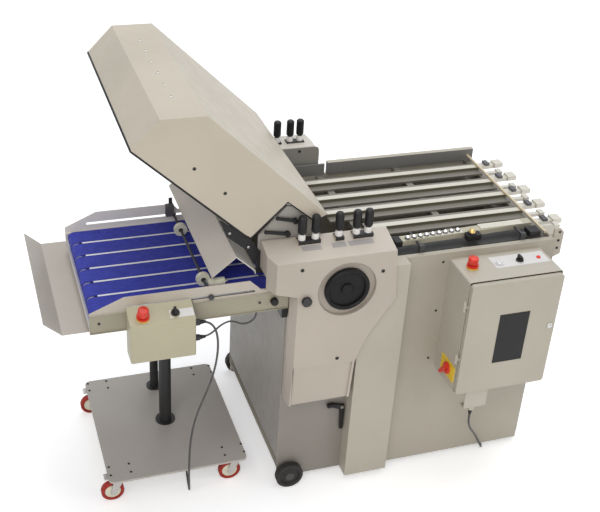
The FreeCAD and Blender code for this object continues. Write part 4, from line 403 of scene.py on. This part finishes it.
def cord_piece(name, points, diameter):
    """A round cord on one smooth curve."""
    data = bpy.data.curves.new(name, "CURVE")
    data.dimensions = "3D"
    data.resolution_u = 8
    data.bevel_depth = diameter / 2
    data.bevel_resolution = 4
    data.use_fill_caps = True
    spline = data.splines.new("NURBS")
    spline.points.add(len(points) - 1)
    for spot, point in zip(spline.points, points):
        spot.co = (*point, 1)
    spline.order_u = 3
    spline.use_endpoint_u = True
    thing = bpy.data.objects.new(name, data)
    bpy.context.scene.collection.objects.link(thing)
    thing.data.materials.append(LOOK["cable_rubber"])
    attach(thing, "frame")
    return thing


control_cord = cord_piece("control_cord", CONTROL_ROUTE + coil_turns(
    centre=(-.4617, -.0881), turn=.077, diameter=.007, start=-11.8, sweep=3251.8,
    end_height=.012), .007)
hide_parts("control_cable", "control_cable_coil")
link_cord = cord_piece("link_cord", LINK_ROUTE, .006)
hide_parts("link_cable")
mains_cord = cord_piece("mains_cord", MAINS_ROUTE + coil_turns(
    centre=(.742, -.1727), turn=.088, diameter=.008, start=176.5, sweep=-3236.5,
    end_height=.022), .008)
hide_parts("mains_cable", "mains_cable_coil")

# ---------------------------------------------------------------- small pieces
X, Y, Z = Vector((1, 0, 0)), Vector((0, 1, 0)), Vector((0, 0, 1))
PANEL_UP = Vector((0, -math.sin(math.radians(PANEL_TILT)), math.cos(math.radians(PANEL_TILT))))


def piece(name, mesh, look, body="frame"):
    """A finished mesh becomes a piece that rides on a body."""
    data = bpy.data.meshes.new(name)
    mesh.to_mesh(data)
    mesh.free()
    thing = bpy.data.objects.new(name, data)
    bpy.context.scene.collection.objects.link(thing)
    data.materials.append(LOOK[look] if isinstance(look, str) else look)
    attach(thing, body)
    return thing


def turned_mesh(mesh, spots, axis, profile, around=24):
    """Adds a closed turned form at each spot; profile is (radius, height along axis) in mm."""
    side = axis.orthogonal().normalized()
    across = axis.cross(side)
    for spot in spots:
        centre = Vector(spot) / 1000
        rings = []
        for radius, height in profile:
            ring = []
            for step in range(around):
                angle = math.tau * step / around
                offset = side * math.cos(angle) + across * math.sin(angle)
                ring.append(mesh.verts.new(centre + offset * radius / 1000 + axis * height / 1000))
            rings.append(ring)
        for low, high in zip(rings, rings[1:]):
            for step in range(around):
                after = (step + 1) % around
                face = mesh.faces.new((low[step], low[after], high[after], high[step]))
                face.smooth = True
        mesh.faces.new(rings[0][::-1])
        mesh.faces.new(rings[-1])
    return mesh


def plate_mesh(mesh, outline, low, high, bevel=0.6):
    """Adds an upright plate from (x, z) corners, between two y levels, all in millimetres."""
    rings = [[mesh.verts.new((x / 1000, y / 1000, z / 1000)) for x, z in outline]
             for y in (low, high)]
    faces = [mesh.faces.new(rings[0]), mesh.faces.new(rings[1][::-1])]
    for step in range(len(outline)):
        after = (step + 1) % len(outline)
        corners = (rings[0][after], rings[0][step], rings[1][step], rings[1][after])
        faces.append(mesh.faces.new(corners))
    bmesh.ops.recalc_face_normals(mesh, faces=faces)
    edges = list({edge for face in faces for edge in face.edges})
    bmesh.ops.bevel(mesh, geom=edges, offset=bevel / 1000, segments=1, affect="EDGES", profile=0.7)
    return mesh


def slab_mesh(mesh, centre, size, tilt):
    """Adds a block tilted in degrees about the X axis."""
    verts_before = set(mesh.verts)
    block_mesh(mesh, [-side / 2 for side in size], [side / 2 for side in size], 0.4)
    turn = Matrix.Translation(Vector(centre) / 1000) @ Matrix.Rotation(math.radians(tilt), 4, "X")
    for vert in mesh.verts:
        if vert not in verts_before:
            vert.co = turn @ vert.co
    return mesh


def block_mesh(mesh, low, high, bevel):
    """Adds a block between two corners in millimetres, with its edges rounded."""
    low, high = Vector(low) / 1000, Vector(high) / 1000
    made = bmesh.ops.create_cube(mesh, size=1)["verts"]
    for vert in made:
        vert.co = Vector(low[i] if vert.co[i] < 0 else high[i] for i in range(3))
    edges = {edge for vert in made for edge in vert.link_edges}
    bmesh.ops.bevel(mesh, geom=list(edges), offset=bevel / 1000, segments=2, affect="EDGES",
                    profile=0.7)
    return mesh


def screws(name, spots, axis, radius=5.0, body="frame", look="dark_screw"):
    """Button-head socket screws: domed head with a hexagon socket, seated on a surface."""
    mesh = bmesh.new()
    socket = radius * 0.46
    head = [(radius, -0.6), (radius, 0.8), (radius * 0.86, 2.0), (radius * 0.55, 2.7),
            (socket, 2.7)]
    turned_mesh(mesh, spots, axis, head, 20)
    turned_mesh(mesh, spots, axis, [(socket, 2.7), (socket, 1.1), (radius * 0.1, 1.0)], 6)
    piece(name, mesh, look, body)


LOOK["dark_screw"] = brushed("dark_screw", (0.05, 0.047, 0.045), 0.35, (4, 4, 4), 0.6)
LOOK["bright_screw"] = brushed("bright_screw", (0.55, 0.54, 0.52), 0.3, (4, 4, 4), 0.9)
LOOK["label"] = paint("label_face", (0.66, 0.64, 0.63), 0.5, 1500, 0.04)
LOOK["dull_label"] = paint("dull_label_face", (0.30, 0.28, 0.27), 0.5, 1500, 0.04)
LOOK["far_plate"] = paint("far_plate_paint", (0.25, 0.24, 0.215), 0.5)
LOOK["pale_strip"] = brushed("pale_strip_look", (0.86, 0.86, 0.86), 0.4, metallic=0.1)
LOOK["lay_steel"] = brushed("lay_steel_look", (0.66, 0.63, 0.54), 0.34, metallic=0.4)
LOOK["peg_steel"] = brushed("peg_steel_look", (0.62, 0.59, 0.52), 0.38, metallic=0.35)
LOOK["slate_plastic"] = moulded("slate_plastic_look", (0.12, 0.115, 0.125), 0.42)
LOOK["cream_rubber"] = moulded("cream_rubber_look", CREAM, 0.5)
LOOK["bright_ball"] = brushed("bright_ball_look", (0.88, 0.87, 0.86), 0.14, (5, 5, 5), 0.85)
LOOK["brass"] = brushed("brass_look", (0.60, 0.42, 0.16), 0.28, (4, 4, 4), 0.85)

# Hood: six screws on its flat top, two on its near cheek, and rubber edging along its open edges.
screws("hood_top_screws", [(-477.5, 350 - 95.8 * n, HOOD_TOP) for n in range(6)], Z, 5.5, "hood",
       "bright_screw")
screws("hood_cheek_screws", [(-444, HOOD_CHEEK, 1276), (-349, HOOD_CHEEK, 1184)], -Y, 5.5, "hood")


def edging(name, corners, width, body):
    """A rubber edging of rounded section along a line of corners, in millimetres."""
    data = bpy.data.curves.new(name, "CURVE")
    data.dimensions = "3D"
    data.bevel_depth = width / 2000
    data.bevel_resolution = 1
    spline = data.splines.new("POLY")
    spline.points.add(len(corners) - 1)
    for spot, corner in zip(spline.points, corners):
        spot.co = (*(Vector(corner) / 1000), 1)
    thing = bpy.data.objects.new(name, data)
    bpy.context.scene.collection.objects.link(thing)
    data.materials.append(LOOK["black_plastic"])
    data.use_fill_caps = True
    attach(thing, body)


edging("hood_edging", [(-629, 509, 1349), (-629, -286, 1349), (-283, -286, 1029),
                       (-264, -286, 1016)], 9, "hood")
edging("hood_notch_edging", [(-264, -286.5, 1016), (-148, -286.5, 1130), (-54, -286.5, 1051),
                             (-14, -286.5, 1070)], 6, "hood")


def softened(name, chosen, radius):
    """Stands for a moulded node with its chosen edges rounded; radius is in millimetres."""
    source = nodes[name]
    mesh = bmesh.new()
    mesh.from_mesh(source.data)
    bmesh.ops.remove_doubles(mesh, verts=mesh.verts, dist=1e-5)
    bmesh.ops.dissolve_limit(mesh, angle_limit=math.radians(0.5), verts=mesh.verts,
                             edges=mesh.edges)
    edges = [edge for edge in mesh.edges if len(edge.link_faces) == 2
             and edge.calc_face_angle_signed() > math.radians(12) and chosen(edge)]
    made = bmesh.ops.bevel(mesh, geom=edges, offset=radius / 1000, segments=4, profile=0.5,
                           affect="EDGES", clamp_overlap=True)
    for face in made["faces"]:
        face.smooth = True
    thing = piece(name + "_softened", mesh, source.data.materials[0])
    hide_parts(name)


def front_rim(edge):
    """True for the rim of the near cover's front, and the slanted edges that run back from it."""
    spots = [vert.co * 1000 for vert in edge.verts]
    front = [abs(spot.y - COVER_FRONT) < 0.3 for spot in spots]
    slanted = any(front) and all(spot.z > 700 for spot in spots)
    return all(front) or slanted


softened("near_housing_cover", front_rim, 9)

# Housing covers: screws, bare label strips on the sloping deck, and the inner plate of the far one.
screws("cover_screws", [(x, COVER_FRONT, z) for x, z in ((-124, 942), (151, 901), (19, 577))],
       -Y, 6.5)
mesh = bmesh.new()
for left, right in ((-110, -46), (-10, 37), (46, 130)):
    slab_mesh(mesh, ((left + right) / 2, -338, 986.0), (right - left, 21, 1.0), DECK_TILT)
piece("cover_label_strips", mesh, "dull_label")
outline = [(-212, 850), (175, 850), (175, 992), (171, 1000), (163, 1003), (-212, 1003)]
mesh = plate_mesh(bmesh.new(), outline, 322.2, 323.8, 0.3)
piece("far_inner_plate", mesh, "far_plate")
screws("far_plate_screws", [(99, 322.4, 990)], -Y, 6)

# Dark side bracket that carries the exit guard, with two bright screws. Its black outline also
# covers shade near the gable's left edge, so part of it is painted shadow.
outline = [(-365, 1091), (-340, 1029), (-280, 977), (-252, 920), (-243, 920), (-229, 960),
           (-262, 1008), (-310, 1050)]
piece("guard_bracket", plate_mesh(bmesh.new(), outline, BRACKET_FACE, -280),
      "black_plastic")
screws("bracket_screws", [(-331, BRACKET_FACE, 1040), (-269, BRACKET_FACE, 983)], -Y, 4.5,
       look="bright_screw")

# Near side panel: three screws beside the pillar.
spots = [(x, SIDE_PANEL_FACE, z) for x, z in ((390, 871), (389, 676), (386, 476))]
screws("side_panel_screws", spots, -Y, 4.5)

# Electric box: a pale strip on top.
mesh = block_mesh(bmesh.new(), (541, -433, BOX_TOP - 0.2), (742, -366, BOX_TOP + 0.9), 0.4)
piece("box_label_strip", mesh, "label")

# Emergency stops: a rounded cap on each button's head.
cap = [(16.4, -4), (17, -2), (17, 3), (15.5, 5.5), (11, 7), (3, 7.4)]
for name, spot, axis in (("box_stop", (462, -410, 913), Z),
                         ("conveyor_stop", (-626, -404.5, 878.2), PANEL_UP)):
    piece(name + "_cap", turned_mesh(bmesh.new(), [spot], axis, cap, 32),
          "red_plastic", name + "_button")

# Electric box: a small push button on top, and the bare black plate and lock on its door.
profile = [(7.5, 0), (7.5, 2.4), (6.6, 3.4), (6.2, 3.4), (5.6, 6), (4, 6.6)]
piece("box_small_button", turned_mesh(bmesh.new(), [(712, -403, BOX_TOP)], Z, profile),
      "red_plastic")
mesh = block_mesh(bmesh.new(), (536, -513.2, 550), (647, -511.8, 747), 0.5)
piece("door_bare_plate", mesh, "black_plastic", "electric_box_door")
profile = [(11, -0.5), (11, 2), (9.5, 4), (4, 4), (4, 2.6), (1, 2.6)]
piece("door_lock", turned_mesh(bmesh.new(), [(734, DOOR_FACE, 673)], -Y, profile),
      "bright_screw", "electric_box_door")

# Conveyor: bright bed strips between the belts, a journal screw, the drive roller's knob, and the
# press's slide block and outrigger roller.
# Painted reflection: the strips on the bed between the belts are painted near white to stand in for
# the bed's reflection seen through the gaps.
mesh = bmesh.new()
for number in range(6):
    middle = -309 + 82.4 * number
    block_mesh(mesh, (-735, middle - 3.7, 832.8), (-215, middle + 3.7, 835.5), 0.3)
piece("bed_strips", mesh, "pale_strip")
screws("end_journal_screw", [(-751, -346.4, ROLLER_HEIGHT)], -Y, 4.5, "end_roller")
screws("near_rail_screws", [(-245, -350, ROLLER_HEIGHT)], -Y, 4)
profile = [(11, 0), (12.5, 2), (12.5, 15), (10, 19), (2, 20)]
piece("roller_knob", turned_mesh(bmesh.new(), [(-198, -346, ROLLER_HEIGHT)], -Y, profile, 28),
      "black_plastic", "drive_roller")
mesh = block_mesh(bmesh.new(), (-434, 172, 860), (-405, 188.5, 905), 2.5)
piece("press_bearing_block", mesh, "slate_plastic", "press_shaft")
profile = [(7, -3), (12, 0), (13.5, 3), (13.5, 48), (12, 52), (7, 54), (4, 54), (4, 62)]
piece("press_outrigger", turned_mesh(bmesh.new(), [(-390, -263, 856)], X, profile, 28),
      "cream_rubber", "press_shaft")

# Register guide: end caps, a row of marbles, the ball carrier and the pale lay bars on its top.
mesh = block_mesh(bmesh.new(), (238, -283, 911), (263, -243, 932), 2)
block_mesh(mesh, (720, -318, 907.5), (762, -276, 929), 2)
block_mesh(mesh, (494, -298, 910), (546, -268, 931), 2)
piece("guide_blocks", mesh, "black_plastic", "side_guide")
mesh = bmesh.new()
for left, right, low, high in ((278, 488, -272, -256), (560, 722, -262, -232)):
    outline = [(left, GUIDE_TOP + 0.2), (right, GUIDE_TOP + 0.2), (right, GUIDE_TOP + 3),
               (left, GUIDE_TOP + 3)]
    plate_mesh(mesh, outline, low, high)
piece("lay_bars", mesh, "lay_steel", "side_guide")


def dome(radius, height, angles, crown):
    """Profile of a ball's upper part round a centre at a height, closed by a small crown."""
    turns = [math.radians(angle) for angle in angles]
    return [(radius * math.sin(turn), height + radius * math.cos(turn)) for turn in turns] + [crown]


cup = [(9.5, 0), (9.5, 3.5), (8, 5)]
marble = dome(7.6, 3, range(96, 0, -12), (0.4, 10.6))
spots = [(286 + 23.5 * n, -266 + 1.2 * n, 932.5) for n in range(9)]
piece("marble_cups", turned_mesh(bmesh.new(), spots, Z, cup, 20),
      "slate_plastic", "side_guide")
piece("marbles", turned_mesh(bmesh.new(), spots, Z, marble, 20),
      "bright_ball", "side_guide")
spots = [(516, -282, GUIDE_TOP)]
piece("carrier_ring", turned_mesh(bmesh.new(), spots, Z, [(15, 0), (16, 3), (14, 7)], 28),
      "black_plastic", "side_guide")
ball = dome(12.5, 5, range(90, 0, -10), (0.5, 17.5))
piece("carrier_ball", turned_mesh(bmesh.new(), spots, Z, ball, 28),
      "brass", "side_guide")

# Ball levers: a thicker sleeve on each rod.
for name, hub, knob in (("upper_ball_lever", (-120, -286, 1060), (-178, -286, 1075)),
                        ("lower_ball_lever", (-143, -286, 1016), (-214, -286, 1030))):
    rod = Vector(knob) - Vector(hub)
    profile = [(5.6, 2), (6, 6), (5.2, rod.length - 8), (4, rod.length - 4)]
    mesh = turned_mesh(bmesh.new(), [hub], rod.normalized(), profile, 20)
    piece(name.replace("lever", "sleeve"), mesh, "black_plastic", name)

# Register table: second pegs and clamps between the stub bars, and the near right corner's bracket.
mesh = bmesh.new()
for x, y in ((878, 190), (875, 72), (877, -22), (875, -140), (884, -232)):
    block_mesh(mesh, (806, y - 9, 882), (x - 14, y + 9, 893), 1.2)
    block_mesh(mesh, (x - 20, y - 14, 880), (x, y + 14, 898), 2)
piece("second_pegs", mesh, "peg_steel")
mesh = bmesh.new()
for x, y in ((846, 257), (846, 147), (846, 38), (849, -73), (849, -190)):
    block_mesh(mesh, (x - 9, y - 16, 893), (x + 9, y + 16, 903), 2)
piece("peg_clamps", mesh, "slate_plastic")
outline = [(808, 820), (846, 835), (846, 920), (832, 936), (808, 936)]
mesh = plate_mesh(bmesh.new(), outline, CORNER_FACE, -322.4)
block_mesh(mesh, (794, -322.6, 906), (846, -262, 912), 1)
piece("corner_bracket", mesh, "panel_paint")
screws("corner_screws", [(829, CORNER_FACE, z) for z in (923, 890, 860)], -Y, 5)

# Inside the electric box: a plate with three rows of plain modules between slotted ducts.
mesh = block_mesh(bmesh.new(), (432, -347.5, 452), (738, -344.2, 862), 1)
piece("box_mounting_plate", mesh, "pale_strip")
mesh = bmesh.new()
for z in (458, 574, 690, 806):
    block_mesh(mesh, (440, -384, z), (730, -347, z + 30), 1)
    for n in range(24):
        block_mesh(mesh, (446 + 12 * n, -386, z + 3), (450 + 12 * n, -383, z + 27), 0.4)
piece("box_ducts", mesh, "slate_plastic")
mesh = bmesh.new()
for z, widths in ((602, (45, 45, 68, 54)), (718, (36, 36, 90, 54)), (500, (90, 18, 18, 18, 72))):
    left = 450
    for n, width in enumerate(widths):
        block_mesh(mesh, (left, -392, z + 4), (left + width - 2, -347, z + 66), 1.5)
        block_mesh(mesh, (left + 3, -406 + 4 * (n % 2), z + 16),
                   (left + width - 5, -391, z + 54), 1.5)
        left += width + 6
piece("box_modules", mesh, "black_plastic")

# Far side and right end, not seen in the photograph: louvres and screws.
mesh = bmesh.new()
for column in (340, 520):
    for row in range(8):
        z = 560 + 18 * row
        plate = [(-4.4, 0), (-4.4, 2.2), (0.6, 9), (0.6, 0)]
        ends = [[mesh.verts.new((x / 1000, (FAR_PANEL_FACE - dy) / 1000, (z + dz) / 1000))
                 for dy, dz in plate]
                for x in (column, column + 140)]
        faces = [mesh.faces.new(ends[0]), mesh.faces.new(ends[1][::-1])]
        for step in range(4):
            after = (step + 1) % 4
            corners = (ends[0][after], ends[0][step], ends[1][step], ends[1][after])
            faces.append(mesh.faces.new(corners))
        bmesh.ops.recalc_face_normals(mesh, faces=faces)
piece("far_louvres", mesh, "dark_paint")
screws("far_panel_screws", [(x, FAR_PANEL_FACE, z) for x in (210, 500, 790)
                            for z in (60, 460, 850)], Y, 4.5)
screws("far_cover_screws", [(x, FAR_COVER_FACE, z) for z in (960, 600) for x in (-180, 140)], Y, 6)
screws("end_panel_screws", [(END_PANEL_FACE, y, z) for y in (-290, 290)
                            for z in (80, 460, 840)], X, 4.5)

# Bare label under the conveyor's speed selector.
mesh = slab_mesh(bmesh.new(), (-507, -394, 847.0), (74, 30, 0.9), PANEL_TILT)
piece("control_label_strip", mesh, "label")

# Stand plate: four bolts over each caster.
spots = [(x + dx, y + dy, STAND_TOP) for x in (-693, -289) for y in (-248, 228)
         for dx in (-35, 35) for dy in (-21, 21)]
screws("stand_bolts", spots, Z, 4.5)


def strain_relief(name, spot, axis, diameter, length):
    """A tapered, ribbed sleeve where a cable leaves a gland; sizes in millimetres."""
    profile = [(9.5, -6), (9.5, 0)]
    for rib in range(6):
        share = rib / 6
        radius = 8.0 - share * (8.0 - diameter / 2 - 1)
        profile += [(radius, 0.5 + share * length), (radius, (share + 0.10) * length),
                    (radius - 0.9, (share + 0.11) * length),
                    (radius - 0.9, (share + 0.155) * length)]
    profile += [(diameter / 2 + 0.4, length)]
    piece(name, turned_mesh(bmesh.new(), [spot], axis, profile, 20),
          "black_plastic")


strain_relief("control_relief", (-449, -386, 797), X, 7, 20)
strain_relief("link_relief", (-449, -386, 740), X, 6, 20)
strain_relief("mains_relief", (509, -475, 328), -Z, 8, 22)

# ---------------------------------------------------------------- stage, light and camera
FLOOR_SIZE = 60
# Glow of the floor and the world as the camera and reflections see them, and the world's light on
# the object.
FLOOR_GLOW = 0.42
SEEN_SKY = 1.0
ROOM_LIGHT = 0.38
# Area lights: place, aim, width in metres, power in watts and colour.
LIGHTS = {
    "key": ((-4.4, -7.0, 8.0), (0, 0, 0.6), 6.0, 385, (1.0, 0.97, 0.93)),
    "top": ((1.4, 1.6, 10.0), (0, 0, 0.6), 8.0, 600, (0.93, 0.97, 1.0)),
    "fill": ((7.5, -6.5, 3.2), (0, 0, 0.6), 5.0, 155, (1.0, 0.98, 0.95)),
    "low": ((-2.0, -6.5, 0.9), (0, 0, 0.3), 3.0, 55, (1.0, 0.98, 0.95)),
}
# The photograph's camera: place in metres, angles in radians, focal length and frame width in mm.
CAMERA_PLACE = (-1.094, -2.992, 2.680)
YAW, PITCH, ROLL = 0.353174912, 0.545946709, -0.0656235025
FOCAL_LENGTH = 63.316
FRAME_WIDTH = 36


def stage():
    """A white floor that keeps soft shadows, a broad key from above, and low fills."""
    bpy.ops.mesh.primitive_plane_add(size=FLOOR_SIZE)
    floor = bpy.context.object
    floor.name = "studio_floor"
    shader = Shader("studio_floor")
    tone = shader.ramp(shader.noise(2, 2), [(0.3, (0.80, 0.80, 0.80)), (0.7, (0.84, 0.84, 0.84))])
    shader.link(tone, shader.surface.inputs["Base Color"])
    shader.surface.inputs["Roughness"].default_value = 0.9
    rays = shader.tree.nodes.new("ShaderNodeLightPath").outputs
    seen = shader.number("MAXIMUM", rays["Is Camera Ray"], rays["Is Glossy Ray"])
    shader.surface.inputs["Emission Color"].default_value = (1, 1, 1, 1)
    shader.link(shader.number("MULTIPLY", seen, FLOOR_GLOW),
                shader.surface.inputs["Emission Strength"])
    floor.data.materials.append(shader.material)
    for name, (spot, target, size, power, colour) in LIGHTS.items():
        light = bpy.data.lights.new(name, "AREA")
        light.energy = power
        light.size = size
        light.color = colour
        lamp = bpy.data.objects.new(name, light)
        bpy.context.scene.collection.objects.link(lamp)
        lamp.location = spot
        lamp.rotation_euler = (Vector(target) - Vector(spot)).to_track_quat("-Z", "Y").to_euler()
    world = bpy.data.worlds.new("studio")
    world.use_nodes = True
    tree = world.node_tree
    background = tree.nodes["Background"]
    background.inputs["Color"].default_value = (0.97, 0.98, 1.0, 1)
    rays = tree.nodes.new("ShaderNodeLightPath").outputs
    shown = tree.nodes.new("ShaderNodeMath")
    shown.operation = "MAXIMUM"
    tree.links.new(rays["Is Camera Ray"], shown.inputs[0])
    tree.links.new(rays["Is Glossy Ray"], shown.inputs[1])
    strength = tree.nodes.new("ShaderNodeMapRange")
    strength.inputs["To Min"].default_value = ROOM_LIGHT
    strength.inputs["To Max"].default_value = SEEN_SKY
    tree.links.new(shown.outputs[0], strength.inputs["Value"])
    tree.links.new(strength.outputs["Result"], background.inputs["Strength"])
    bpy.context.scene.world = world
    bpy.context.scene.view_settings.view_transform = "Standard"


def camera():
    """The photograph's camera, from its yaw, pitch and roll."""
    forward = Vector((math.sin(YAW) * math.cos(PITCH), math.cos(YAW) * math.cos(PITCH),
                      -math.sin(PITCH)))
    level = Vector((math.cos(YAW), -math.sin(YAW), 0))
    down = forward.cross(level)
    right = level * math.cos(ROLL) + down * math.sin(ROLL)
    down = down * math.cos(ROLL) - level * math.sin(ROLL)
    data = bpy.data.cameras.new("view")
    data.lens = FOCAL_LENGTH
    data.sensor_width = FRAME_WIDTH
    thing = bpy.data.objects.new("view", data)
    bpy.context.scene.collection.objects.link(thing)
    turn = Matrix((right, -down, -forward)).transposed().to_4x4()
    thing.matrix_world = Matrix.Translation(CAMERA_PLACE) @ turn
    bpy.context.scene.camera = thing


stage()
camera()
